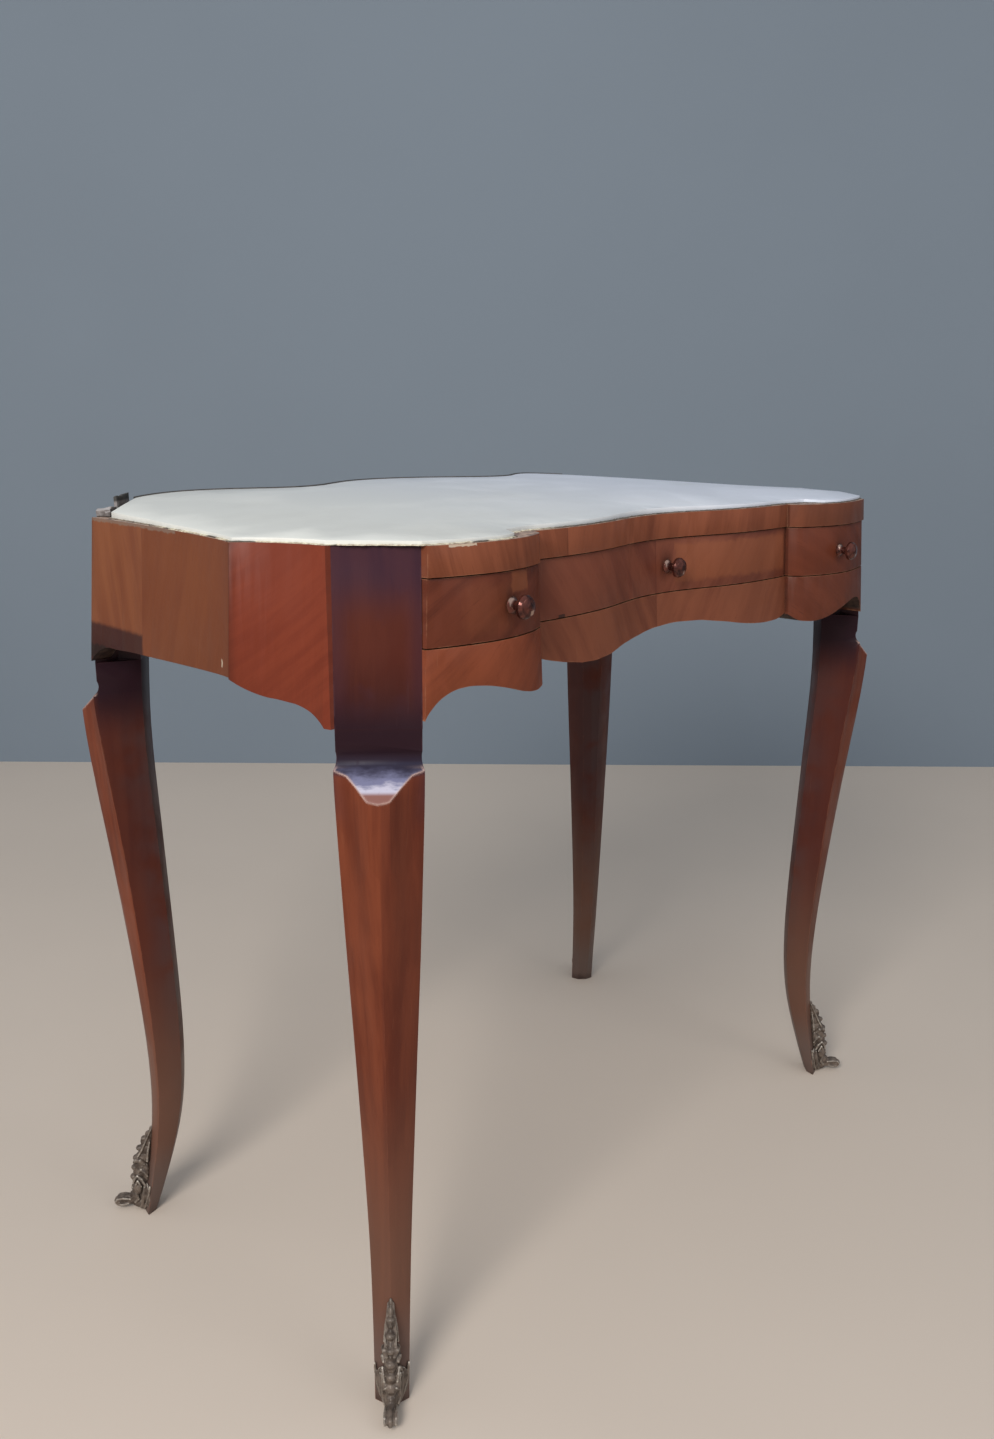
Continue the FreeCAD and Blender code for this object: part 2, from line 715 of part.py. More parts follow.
def add_drawers():
    front_z = (apron_top_z + front_gap, rail_low_z - front_gap)
    half_gap = front_gap / 2.0
    side_box = (divider[1] + slide_gap, side_guide[0] - slide_gap)
    middle_box = (slide_gap - divider[0], divider[0] - slide_gap)
    knobs = {"left": knob_left_x, "right": knob_right_x}
    for word, side in sides.items():
        front = without_corners(side_piece(front_z[0], front_z[1], half_gap, side), leg_gap)
        make_drawer("drawer_" + word, sorted(mirrored(side_box, side)), front, side_back_y, knobs[word])
    front = middle_piece(front_z[0], front_z[1], half_gap)
    make_drawer("drawer_middle", middle_box, front, middle_back_y, knob_middle_x)


def add_top():
    add("top_panel", make_top())
    add("top_back_lip", make_lip())
    for word, side in sides.items():
        add("corner_rest_" + word, make_corner_rest(side))


add_inner_boards(add_legs() + add_walls())
add_drawers()
add_top()
for name, shape in nodes.items():
    # The origin stands on the floor under the middle of the whole table, knobs included
    shape.translate(Vec(0.0, origin_shift_y, -floor_z))
    shape.exportStep("parts/" + name + ".step")
    print(name, len(shape.Solids), round(shape.Volume), shape.isValid())
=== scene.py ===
# %% [markdown]
# A small dressing table, dressed for its picture
#
# The table is about 86 cm wide, has three shallow drawers in a curved front, four curved legs with
# bronze mounts on their feet and a pale sheet for a top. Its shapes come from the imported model, so
# this script only adds what a shape in wood can't say: the finishes, the worn edges, the chips and
# the cast detail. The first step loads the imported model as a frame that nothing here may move.

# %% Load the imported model
import bpy
import bmesh
import math
import random
from mathutils import Matrix, Vector, noise


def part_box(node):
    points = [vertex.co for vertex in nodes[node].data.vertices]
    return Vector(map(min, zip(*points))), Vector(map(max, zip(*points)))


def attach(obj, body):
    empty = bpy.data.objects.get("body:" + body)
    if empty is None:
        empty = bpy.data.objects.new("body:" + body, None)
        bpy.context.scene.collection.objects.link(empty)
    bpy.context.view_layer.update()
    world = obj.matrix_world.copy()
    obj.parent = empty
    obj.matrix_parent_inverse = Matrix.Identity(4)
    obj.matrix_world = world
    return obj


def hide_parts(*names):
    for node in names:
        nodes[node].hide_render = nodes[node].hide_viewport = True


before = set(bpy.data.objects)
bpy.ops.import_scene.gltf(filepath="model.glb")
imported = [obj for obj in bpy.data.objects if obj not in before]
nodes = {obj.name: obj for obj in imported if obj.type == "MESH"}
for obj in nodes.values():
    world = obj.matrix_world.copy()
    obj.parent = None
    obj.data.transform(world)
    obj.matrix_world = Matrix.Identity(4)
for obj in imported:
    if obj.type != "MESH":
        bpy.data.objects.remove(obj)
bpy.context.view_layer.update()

# %% [markdown]
# The camera stands where the photographer stood: a little left of the table's front left corner, at
# about the height of a chest, and looks down by some fourteen degrees. Its place and angles were
# found by fitting the leg tips and the corners of the case. A lens could also be guessed and moved
# by eye, but a fitted one lets every later step be compared with the photograph point by point.

# %% Camera
camera_place = Vector((-0.9376, -0.8221, 0.8261))
camera_turn = 0.8285
camera_dip = 0.2529
camera_roll = 0.0054
picture_height = 1439
focal_pixels = 1200.7
sensor_mm = 36.0

ahead = Vector((
    math.sin(camera_turn) * math.cos(camera_dip),
    math.cos(camera_turn) * math.cos(camera_dip),
    -math.sin(camera_dip),
))
level = Vector((math.cos(camera_turn), -math.sin(camera_turn), 0.0))
upward = level.cross(ahead)
right = level * math.cos(camera_roll) + upward * math.sin(camera_roll)
above = upward * math.cos(camera_roll) - level * math.sin(camera_roll)
camera_data = bpy.data.cameras.new("camera")
camera_data.sensor_width = sensor_mm
camera_data.lens = focal_pixels / picture_height * sensor_mm
camera_data.clip_start = 0.05
camera = bpy.data.objects.new("camera", camera_data)
camera.matrix_world = Matrix((
    (right.x, above.x, -ahead.x, camera_place.x),
    (right.y, above.y, -ahead.y, camera_place.y),
    (right.z, above.z, -ahead.z, camera_place.z),
    (0.0, 0.0, 0.0, 1.0),
))
scene = bpy.context.scene
scene.collection.objects.link(camera)
scene.camera = camera
scene.view_settings.view_transform = "Standard"
print("lens in mm", round(camera_data.lens, 2))

# %% [markdown]
# Every finish below is built from small nodes. A few helpers keep that short: one turns the colour
# that a screen shows into the linear values that Blender counts in, one adds a node and fills or
# links its inputs, and the rest name the nodes that come back most. Node trees could be wired by
# hand in the editor, but written out like this each finish can be read from top to bottom.

# %% Helpers for colours and nodes
black, white = (0.0, 0.0, 0.0, 1.0), (1.0, 1.0, 1.0, 1.0)


def tint(red, green, blue):
    """Screen colour from 0 to 255 as linear values with full alpha."""
    shares = [value / 255.0 for value in (red, green, blue)]
    return (*[v / 12.92 if v <= 0.04045 else ((v + 0.055) / 1.055) ** 2.4 for v in shares], 1.0)


def feed(tree, socket, value):
    """Links what comes from another node and sets a plain value."""
    if isinstance(value, bpy.types.NodeSocket):
        tree.links.new(value, socket)
    else:
        socket.default_value = value


def put(tree, kind, inputs=None, **settings):
    made = tree.nodes.new("ShaderNode" + kind)
    for name, value in settings.items():
        setattr(made, name, value)
    for name, value in (inputs or {}).items():
        feed(tree, made.inputs[name], value)
    return made


def maths(tree, operation, first, second=0.0, clamp=False):
    return put(tree, "Math", {0: first, 1: second}, operation=operation, use_clamp=clamp).outputs[0]


def times(tree, first, second):
    return maths(tree, "MULTIPLY", first, second)


def blend(tree, factor, first, second):
    node = put(tree, "Mix", data_type="RGBA")
    for place, value in ((0, factor), (6, first), (7, second)):
        feed(tree, node.inputs[place], value)
    return node.outputs[2]


def ramp(tree, value, low, high):
    """Rises smoothly from 0 at low to 1 at high."""
    inputs = {"Value": value, "From Min": low, "From Max": high}
    return put(tree, "MapRange", inputs, interpolation_type="SMOOTHSTEP").outputs[0]


def vector_maths(tree, operation, first, second=(0.0, 0.0, 0.0)):
    return put(tree, "VectorMath", {0: first, 1: second}, operation=operation).outputs[0]


def dot_of(tree, first, second):
    return put(tree, "VectorMath", {0: first, 1: second}, operation="DOT_PRODUCT").outputs["Value"]


def axes_of(tree, vector):
    return put(tree, "SeparateXYZ", {"Vector": vector}).outputs


def speckle(tree, place, scale, detail, roughness=0.5):
    """Noise around a mean of one half."""
    inputs = {"Vector": place, "Scale": scale, "Detail": detail, "Roughness": roughness}
    return put(tree, "TexNoise", inputs).outputs["Fac"]


def relief(tree, height, strength, distance):
    inputs = {"Height": height, "Strength": strength, "Distance": distance}
    return put(tree, "Bump", inputs).outputs[0]


print("helpers ready, white is", tint(255, 255, 255) == white)

# %% [markdown]
# A material starts from Blender's general surface shader, whose own sockets hold what is the same all
# over. What several finishes share, such as worn edges, is a group with named inputs and outputs: it
# is built once and placed like any other node, where copied nodes would have to be kept alike.

# %% Helpers for materials and shader groups
def wire(tree, shader, values):
    for name, value in values.items():
        tree.links.new(value, shader.inputs[name])


def start_material(name):
    material = bpy.data.materials.new(name)
    material.use_nodes = True
    tree = material.node_tree
    return material, tree, tree.nodes["Principled BSDF"]


def start_group(name, inputs, outputs):
    tree = bpy.data.node_groups.new(name, "ShaderNodeTree")
    for label, kind, value in inputs:
        kind = "NodeSocket" + kind
        socket = tree.interface.new_socket(name=label, in_out="INPUT", socket_type=kind)
        if value is not None:
            socket.default_value = value
    for label, kind in outputs:
        kind = "NodeSocket" + kind
        tree.interface.new_socket(name=label, in_out="OUTPUT", socket_type=kind)
    taken = tree.nodes.new("NodeGroupInput").outputs
    given = tree.nodes.new("NodeGroupOutput").inputs
    return tree, taken, given


def use_group(tree, group, inputs):
    node = tree.nodes.new("ShaderNodeGroup")
    node.node_tree = group
    for name, value in inputs.items():
        feed(tree, node.inputs[name], value)
    return node.outputs


print("pieces to dress", len(nodes))

# %% [markdown]
# The stage is a plain pale floor and a plain wall. Strong lamps could give the pale look of the room
# too, but they would bleach the wood, so it comes from the colours of these two planes.

# %% Floor and wall
def plain_surface(name, colour):
    material, tree, shader = start_material(name)
    place = put(tree, "TexCoord").outputs["Object"]
    cloud = speckle(tree, place, 1.4, 3.0)
    duller = (*[value * 0.96 for value in colour[:3]], 1.0)
    wire(tree, shader, {"Base Color": blend(tree, ramp(tree, cloud, 0.3, 0.7), colour, duller)})
    shader.inputs["Roughness"].default_value = 0.85
    return material


def make_plane(name, corners, material):
    mesh = bpy.data.meshes.new(name)
    mesh.from_pydata(corners, [], [(0, 1, 2, 3)])
    mesh.materials.append(material)
    made = bpy.data.objects.new(name, mesh)
    scene.collection.objects.link(made)


stage_reach = 9.0
wall_distance = 1.52
floor_material = plain_surface("pale_floor", tint(220, 205, 190))
wall_material = plain_surface("pale_wall", tint(130, 141, 152))
make_plane("floor", [
    (-stage_reach, -stage_reach, 0.0), (stage_reach, -stage_reach, 0.0),
    (stage_reach, stage_reach, 0.0), (-stage_reach, stage_reach, 0.0),
], floor_material)
# The wall stands square to the line of sight, as far behind the table as in the photograph
wall_foot = Vector((ahead.x, ahead.y, 0.0)).normalized() * wall_distance
wall_along = Vector((level.x, level.y, 0.0)) * stage_reach
wall_rise = Vector((0.0, 0.0, stage_reach / 2.0))
make_plane("wall", [
    wall_foot - wall_along, wall_foot + wall_along,
    wall_foot + wall_along + wall_rise, wall_foot - wall_along + wall_rise,
], wall_material)
print("wall foot", [round(v, 2) for v in wall_foot])

# %% [markdown]
# One large soft lamp stands high on the left in front, a weak one straight before the table, and an
# even pale sky fills the rest. Together they give a plain level of light, at which a colour looks
# about as it is written. Disks are used because their shadows end as softly as those in the room.

# %% Lamps and sky
sky_colour, sky_strength = (0.86, 0.92, 1.0, 1.0), 0.55


def area_lamp(name, place, target, size, watts, colour):
    data = bpy.data.lights.new(name, "AREA")
    data.shape = "DISK"
    data.size = size
    data.energy = watts
    data.color = colour
    lamp = bpy.data.objects.new(name, data)
    lamp.location = place
    lamp.rotation_mode = "QUATERNION"
    lamp.rotation_quaternion = (Vector(target) - Vector(place)).to_track_quat("-Z", "Y")
    scene.collection.objects.link(lamp)


table_middle = (0.0, 0.0, 0.5)
area_lamp("key_lamp", (-2.7, -1.1, 2.3), table_middle, 1.4, 74.0, (1.0, 0.97, 0.93))
area_lamp("front_lamp", (0.2, -2.8, 1.9), table_middle, 1.6, 8.0, (0.95, 0.98, 1.0))
world = bpy.data.worlds.new("sky")
world.use_nodes = True
world.node_tree.nodes["Background"].inputs["Color"].default_value = sky_colour
world.node_tree.nodes["Background"].inputs["Strength"].default_value = sky_strength
scene.world = world
print("lamps", len(bpy.data.lights))

# %% [markdown]
# Old veneer is never one colour. Light and dark streaks run along the grain, wide soft clouds lie
# over them, and fine pores break the polish. The group below makes all three from noise that is
# drawn out along its third axis, so a material only has to turn its coordinates until that axis
# lies along the grain. Painted images would show more, but noise has no seam and needs no file.

# %% Shader group: wood figure
figure_group, taken, given = start_group(
    "wood_figure",
    [("Vector", "Vector", None),
     ("Pale", "Color", None), ("Middle", "Color", None), ("Dark", "Color", None),
     ("Streak Scale", "Float", 60.0), ("Cloud Scale", "Float", 9.0), ("Stretch", "Float", 0.08)],
    [("Color", "Color"), ("Height", "Float")],
)
tree = figure_group
split = axes_of(tree, taken["Vector"])
drawn = times(tree, split[2], taken["Stretch"])
grain_place = put(tree, "CombineXYZ", {0: split[0], 1: split[1], 2: drawn}).outputs[0]
warp_scale, warp_reach, pore_scale = 7.0, 0.012, 900.0
warp = {"Vector": taken["Vector"], "Scale": warp_scale, "Detail": 2.0}
warp = put(tree, "TexNoise", warp).outputs["Color"]
shift = put(tree, "VectorMath", {0: warp, "Scale": warp_reach}, operation="SCALE").outputs[0]
place = vector_maths(tree, "ADD", grain_place, shift)
streak = put(tree, "TexNoise", {
    "Vector": place, "Scale": taken["Streak Scale"], "Detail": 4.0, "Roughness": 0.62,
}).outputs["Fac"]
cloud = put(tree, "TexNoise", {
    "Vector": taken["Vector"], "Scale": taken["Cloud Scale"], "Detail": 3.0,
}).outputs["Fac"]
pore = speckle(tree, place, pore_scale, 2.0)
tone = blend(tree, ramp(tree, streak, 0.34, 0.66), taken["Dark"], taken["Pale"])
tone = blend(tree, 0.55, tone, taken["Middle"])
tone = blend(tree, times(tree, ramp(tree, cloud, 0.38, 0.66), 0.5), tone, taken["Pale"])
pore_mask = ramp(tree, pore, 0.6, 0.78)
tone = blend(tree, times(tree, pore_mask, 0.35), tone, taken["Dark"])
height = maths(tree, "SUBTRACT", times(tree, streak, 0.5), times(tree, pore_mask, 0.5))
for name, value in (("Color", tone), ("Height", height)):
    tree.links.new(value, given[name])
print("group", figure_group.name)

# %% [markdown]
# Hands and dust cloths rub the polish off every edge, and where two pieces meet the hollows darken
# with dirt and painted shade. Both can be found by looking at the surface itself: a rounded normal
# differs from the true one near an edge, and a short occlusion ray tells where a corner is hollow. One
# group gives both as masks, so that each finish can choose its own colours for them.

# %% Shader group: worn edges, and dirt with painted shade in hollows
wear_group, taken, given = start_group(
    "worn_edges",
    [("Vector", "Vector", None), ("Width", "Float", 0.002), ("Break Up", "Float", 90.0),
     ("Reach", "Float", 0.02)],
    [("Edge", "Float"), ("Hollows", "Float")],
)
tree = wear_group
round_normal = put(tree, "Bevel", {"Radius": taken["Width"]}, samples=6).outputs[0]
true_normal = put(tree, "NewGeometry").outputs["Normal"]
edge = ramp(tree, dot_of(tree, round_normal, true_normal), 0.985, 0.86)
patchy = speckle(tree, taken["Vector"], taken["Break Up"], 4.0)
edge = times(tree, edge, ramp(tree, patchy, 0.42, 0.62))
# The occlusion mask darkens hollows with dirt and painted shade
hollow = put(tree, "AmbientOcclusion", {"Distance": taken["Reach"]}, samples=6).outputs["AO"]
hollow_shade_and_dirt = times(tree, ramp(tree, hollow, 0.8, 0.35), ramp(tree, patchy, 0.25, 0.6))
tree.links.new(edge, given["Edge"])
tree.links.new(hollow_shade_and_dirt, given["Hollows"])
print("group", wear_group.name)

# %% [markdown]
# The table carries many small marks in known places: a lighter strip of veneer by a knob, a dark
# patch low on the end, a chip of bare wood. Each could be a piece of its own, but most have no
# thickness at all. This group answers for any point how far it lies inside a box with ragged sides,
# and a material uses it as a stencil, once for each mark.

# %% Shader group: mark with ragged sides
mark_group, taken, given = start_group(
    "ragged_mark",
    [("Vector", "Vector", None), ("Centre", "Vector", None),
     ("Half Size", "Vector", (0.01, 0.01, 0.01)), ("Ragged", "Float", 0.001),
     ("Soft", "Float", 0.001)],
    [("Mask", "Float")],
)
tree = mark_group
jitter = speckle(tree, taken["Vector"], 160.0, 3.0)
jitter = times(tree, maths(tree, "SUBTRACT", jitter, 0.5), taken["Ragged"])
away = vector_maths(tree, "SUBTRACT", taken["Vector"], taken["Centre"])
away = vector_maths(tree, "SUBTRACT", vector_maths(tree, "ABSOLUTE", away), taken["Half Size"])
axes = axes_of(tree, away)
outside = maths(tree, "MAXIMUM", maths(tree, "MAXIMUM", axes[0], axes[1]), axes[2])
outside = maths(tree, "ADD", outside, times(tree, jitter, 4.0))
inside = maths(tree, "DIVIDE", times(tree, outside, -1.0), taken["Soft"])
tree.links.new(ramp(tree, inside, -0.5, 0.5), given["Mask"])
print("group", mark_group.name)

# %% [markdown]
# Years of use leave thin scratches and dull smears in the polish. Both are rarely seen as colour and
# mostly as a change in the gloss, so the group gives one value that a finish adds to its roughness
# and another that it may use for a faint pale line.

# %% Shader group: scratches and smears
scuff_group, taken, given = start_group(
    "scuffs",
    [("Vector", "Vector", None), ("Scale", "Float", 1.0)],
    [("Scratch", "Float"), ("Smear", "Float")],
)
tree = scuff_group
scaled = {0: taken["Vector"], "Scale": taken["Scale"]}
place = put(tree, "VectorMath", scaled, operation="SCALE").outputs[0]
# Noise drawn out along a line that is tilted to all three axes gives the scratches
line_tilt, line_scale = (0.7, 0.4, 0.9), (260.0, 260.0, 9.0)
tilted = put(tree, "Mapping", {"Vector": place, "Rotation": line_tilt, "Scale": line_scale})
line = speckle(tree, tilted.outputs[0], 1.0, 1.0)
where = speckle(tree, place, 24.0, 1.0)
scratch = times(tree, ramp(tree, line, 0.7, 0.74), ramp(tree, where, 0.5, 0.6))
smear = {"Vector": place, "Scale": 15.0, "Detail": 5.0, "Distortion": 0.6}
smear = put(tree, "TexNoise", smear).outputs["Fac"]
tree.links.new(scratch, given["Scratch"])
tree.links.new(ramp(tree, smear, 0.4, 0.7), given["Smear"])
print("group", scuff_group.name)

# %% [markdown]
# Veneer is laid in sheets that are cut from one flitch and opened like a book, so the grain on one
# side of a joint mirrors the grain on the other. Along each wall of the case the grain leans one way
# up to a joint and the other way beyond it. The helper below measures the distance from that joint
# and turns it by the lean of the grain. A material for each side would need a cut in the mesh, but
# coordinates that fold at the joint need none.

# %% Coordinates for matched veneer
wall_axes = {"x": 0, "y": 1}
side_shift = 0.37


def grain_space(tree, place, along, joint, lean, seed):
    """Coordinates whose third axis runs along grain that leans away from a joint on both sides."""
    split = axes_of(tree, place)
    off = maths(tree, "SUBTRACT", split[wall_axes[along]], joint)
    away = maths(tree, "ABSOLUTE", off)
    side = times(tree, maths(tree, "SIGN", off), side_shift)
    cosine, sine = math.cos(lean), math.sin(lean)
    across = maths(tree, "ADD", times(tree, away, cosine), times(tree, split[2], -sine))
    onward = maths(tree, "ADD", times(tree, away, sine), times(tree, split[2], cosine))
    across = maths(tree, "ADD", across, side)
    return put(tree, "CombineXYZ", {0: across, 1: seed, 2: onward}).outputs[0], away


print("walls run along", *wall_axes)

# %% [markdown]
# A mark lies over a finish like a stencil: inside its ragged box its own tone covers the colour
# below. Each mark is one row that gives its tone, its middle, its half size, how ragged and how soft
# its sides are, and how much of the colour below it hides.

# %% A mark over a colour
def add_mark(tree, place, colour, tone, centre, half, ragged=0.0006, soft=0.001, strength=1.0):
    mask = use_group(tree, mark_group, {
        "Vector": place, "Centre": centre, "Half Size": half, "Ragged": ragged, "Soft": soft,
    })["Mask"]
    return blend(tree, times(tree, mask, strength), colour, tone)


print("marks use", mark_group.name)

# %% [markdown]
# All the wood has been handled for a century in the same way, whatever its colour. So one helper
# takes any wood colour, lays dirt and painted shade in its corners, rubs its edges, draws a few
# scratches over it, and sets its gloss and relief. Each finish still chooses its own tones and how
# glossy it is.

# %% Wear, dirt, painted shade and gloss of wood
grime_and_shade_tone = tint(30, 18, 15)
shade_and_dirt_share, edge_share, scratch_share = 0.6, 0.6, 0.08


def finish_wood(tree, shader, place, colour, height, base_rough, edge_tone, shade_and_dirt_tone, shine=0.18):
    """Adds worn edges, dirt and painted shade in hollows, scuffs and relief to a wood colour, and
    feeds the shader.
    """
    wear = use_group(tree, wear_group, {"Vector": place, "Width": 0.0016})
    scuff = use_group(tree, scuff_group, {"Vector": place})
    # Hollows darken with dirt and painted shade
    colour = blend(tree, times(tree, wear["Hollows"], shade_and_dirt_share), colour, shade_and_dirt_tone)
    colour = blend(tree, times(tree, wear["Edge"], edge_share), colour, edge_tone)
    colour = blend(tree, times(tree, scuff["Scratch"], scratch_share), colour, edge_tone)
    rough = maths(tree, "ADD", times(tree, scuff["Smear"], 0.18), base_rough)
    rough = maths(tree, "ADD", rough, times(tree, wear["Edge"], 0.15))
    rough = maths(tree, "ADD", rough, times(tree, scuff["Scratch"], 0.12), clamp=True)
    fibres = maths(tree, "SUBTRACT", height, times(tree, scuff["Scratch"], 0.6))
    bump = relief(tree, fibres, 0.3, 0.0003)
    wire(tree, shader, {"Base Color": colour, "Roughness": rough, "Normal": bump})
    shader.inputs["Specular IOR Level"].default_value = shine


print("wood wear uses", wear_group.name, "and", scuff_group.name)

# %% [markdown]
# Veneer covers only what is seen from outside. The top of a board is dusty, its sawn ends show dark
# fibres and its underside is raw and brown, darkened further with painted shade. The normal of a face
# tells which of them it is, so one material serves the whole board. Dust lies thick round the top of
# the table, while the top edges of the drawer fronts, which lie lower, are cleaner.

# %% Faces without veneer
dust_pale, dust_dark = tint(188, 160, 142), tint(122, 100, 92)
board_pale, board_dark = tint(140, 100, 70), tint(118, 80, 54)
under_pale_with_shade, under_dark_with_shade = tint(66, 52, 46), tint(40, 30, 28)
dust_from_z, dust_full_z = 0.718, 0.724


def bare_faces(tree, place, colour, outward, cut_tone):
    """Gives the faces that carry no veneer their looks: top, underside with painted shade, and the
    sawn ends.
    """
    normal = put(tree, "NewGeometry").outputs["True Normal"]
    rise = axes_of(tree, normal)[2]
    facing = dot_of(tree, normal, outward)
    grit = speckle(tree, place, 90.0, 5.0, 0.7)
    dust = blend(tree, ramp(tree, grit, 0.42, 0.6), dust_dark, dust_pale)
    clean = blend(tree, ramp(tree, grit, 0.35, 0.65), board_dark, board_pale)
    dust = blend(tree, ramp(tree, axes_of(tree, place)[2], dust_from_z, dust_full_z), clean, dust)
    # The underside is raw brown wood darkened with painted shade
    under = blend(tree, ramp(tree, grit, 0.4, 0.65), under_dark_with_shade, under_pale_with_shade)
    sawn = blend(tree, times(tree, ramp(tree, grit, 0.45, 0.65), 0.5), cut_tone, dust_dark)
    colour = blend(tree, ramp(tree, facing, 0.1, -0.3), colour, sawn)
    colour = blend(tree, ramp(tree, rise, 0.6, 0.85), colour, dust)
    return blend(tree, ramp(tree, rise, -0.35, -0.6), colour, under)


print("dust starts at a height of", dust_from_z)

# %% [markdown]
# Now the parts come together in one finish: folded coordinates, wood figure, a fine dark line at the
# joint, the marks, the bare faces and the wear. Everything that differs from one board to the next
# is an argument, so a board is dressed by a single call.

# %% Veneer finish
bare_wood = tint(160, 112, 84)
seam_share, veneer_rough = 0.55, 0.4


def veneer(name, along, joint, lean, tones, seed, outward, cut_tone, marks=(),
           streak_scale=60.0, edge=bare_wood):
    material, tree, shader = start_material(name)
    place = put(tree, "TexCoord").outputs["Object"]
    grain, away = grain_space(tree, place, along, joint, lean, seed)
    pale, middle, dark = tones
    wood = use_group(tree, figure_group, {
        "Vector": grain, "Pale": pale, "Middle": middle, "Dark": dark, "Streak Scale": streak_scale,
    })
    seam = times(tree, ramp(tree, away, 0.0011, 0.0004), seam_share)
    colour = blend(tree, seam, wood["Color"], dark)
    for mark in marks:
        colour = add_mark(tree, place, colour, *mark)
    colour = bare_faces(tree, place, colour, outward, cut_tone)
    finish_wood(tree, shader, place, colour, wood["Height"], veneer_rough, edge, grime_and_shade_tone)
    return material


def paint(names, material):
    for name in names:
        data = nodes[name].data
        data.materials.clear()
        data.materials.append(material)
    print(material.name, "on", len(names))


print("veneer is ready")

# %% [markdown]
# Each board has three tones: pale, middle and dark. The rail and the aprons are the most orange, the
# drawer fronts darker, the long end walls faded by light, and the lobes before them red. The right
# apron's tones are darker still as painted shade. The tones were set by comparing the mean colour of
# each board in the render with the photograph.

# %% Tones of the boards
rail_tones = (tint(146, 84, 58), tint(124, 68, 45), tint(88, 42, 26))
side_front_tones = (tint(112, 57, 38), tint(90, 41, 26), tint(60, 24, 15))
middle_front_tones = (tint(128, 72, 52), tint(110, 58, 42), tint(86, 40, 29))
apron_tones = (tint(138, 72, 46), tint(114, 55, 34), tint(78, 32, 20))
middle_apron_tones = (tint(134, 78, 54), tint(114, 63, 44), tint(90, 45, 31))
# The darker tones of the right apron are painted shade
right_apron_shaded_tones = (tint(108, 56, 38), tint(88, 43, 29), tint(60, 27, 19))
end_tones = (tint(134, 81, 51), tint(119, 67, 42), tint(108, 58, 37))
lobe_tones = (tint(123, 55, 35), tint(113, 48, 30), tint(102, 41, 26))
back_tones = (tint(130, 72, 46), tint(104, 54, 36), tint(74, 36, 24))
front_cut, end_cut, end_edge = tint(112, 62, 50), tint(84, 60, 56), tint(90, 46, 30)
print("tones in sets", len((
    rail_tones, side_front_tones, middle_front_tones, apron_tones, middle_apron_tones,
    right_apron_shaded_tones, end_tones, lobe_tones, back_tones,
)))

# %% [markdown]
# The marks are what makes this table that one table: the pale strips on two drawer fronts, the dark
# purple patch low on the left end, worn polish along its top and a few chips. Some of them are painted
# light: shade over the right end of the rail, a reflection on the middle drawer, and shadow low at the
# back of the left end and beside its joint. Their places were read off the photograph through the
# fitted camera and written down in the frame of the model.

# %% Marks of the boards
pale_veneer_and_reflection = tint(150, 88, 56)
purple_patch = tint(54, 27, 26)
darker_sheet = tint(104, 54, 32)
rail_painted_shade = tint(88, 50, 36)
worn_top = tint(126, 106, 92)
chip_pale, dark_chip_and_shadow = tint(206, 192, 170), tint(34, 22, 20)
# Rows of tone, middle, half size, ragged, soft, strength
left_front_marks = [
    (pale_veneer_and_reflection, (-0.249, -0.21, 0.699), (0.011, 0.03, 0.008), 0.0015, 0.003, 0.45),
    (pale_veneer_and_reflection, (-0.285, -0.21, 0.682), (0.024, 0.03, 0.018), 0.003, 0.014, 0.14),
    (chip_pale, (-0.2085, -0.20, 0.659), (0.0022, 0.02, 0.0012), 0.0006, 0.0006, 0.9),
]
middle_front_marks = [
    # Paler veneer with a painted reflection over the right half of the middle drawer
    (pale_veneer_and_reflection, (0.115, -0.18, 0.684), (0.085, 0.03, 0.018), 0.002, 0.006, 0.42),
    (dark_chip_and_shadow, (-0.168, -0.19, 0.6585), (0.004, 0.02, 0.0014), 0.0007, 0.0007, 0.8),
]
left_end_marks = [
    (darker_sheet, (-0.41, -0.008, 0.665), (0.05, 0.085, 0.09), 0.0004, 0.004, 0.5),
    (purple_patch, (-0.41, 0.134, 0.6150), (0.05, 0.056, 0.0235), 0.0006, 0.005, 0.9),
    (purple_patch, (-0.41, 0.155, 0.6080), (0.05, 0.040, 0.0150), 0.0020, 0.020, 0.6),
    (chip_pale, (-0.425, -0.071, 0.640), (0.05, 0.0010, 0.0030), 0.0010, 0.0008, 0.7),
    # A dark joint line with painted shadow beside it
    (grime_and_shade_tone, (-0.41, -0.0856, 0.66), (0.05, 0.0010, 0.09), 0.0003, 0.006, 0.45),
    # Bare dark wood with painted shadow, low at the back of the end
    (dark_chip_and_shadow, (-0.41, 0.167, 0.6125), (0.05, 0.018, 0.0065), 0.0015, 0.002, 0.85),
    (worn_top, (-0.41, 0.10, 0.7310), (0.05, 0.085, 0.0022), 0.0012, 0.0012, 0.75),
]
# The same dark joint line with painted shadow beside it, on the lobes
lobe_marks = [(grime_and_shade_tone, (0.0, -0.0856, 0.66), (0.5, 0.0012, 0.09), 0.0003, 0.008, 0.45)]
rail_marks = [
    # Painted shade over the right end of the rail
    (rail_painted_shade, (0.32, -0.19, 0.72), (0.12, 0.06, 0.03), 0.003, 0.07, 0.7),
    (chip_pale, (-0.31, -0.2, 0.7306), (0.012, 0.05, 0.0010), 0.0008, 0.0006, 0.7),
]
left_apron_marks = [
    (chip_pale, (-0.335, -0.21, 0.6115), (0.0016, 0.03, 0.0022), 0.0006, 0.0006, 0.8),
]
print("marks on the left end", len(left_end_marks))

# %% [markdown]
# The rail, the drawer fronts and the aprons all look to the front and are folded along the length of
# the table. A joint that lies far outside a board leaves its grain all one way, which is how the
# short boards at the sides are veneered.

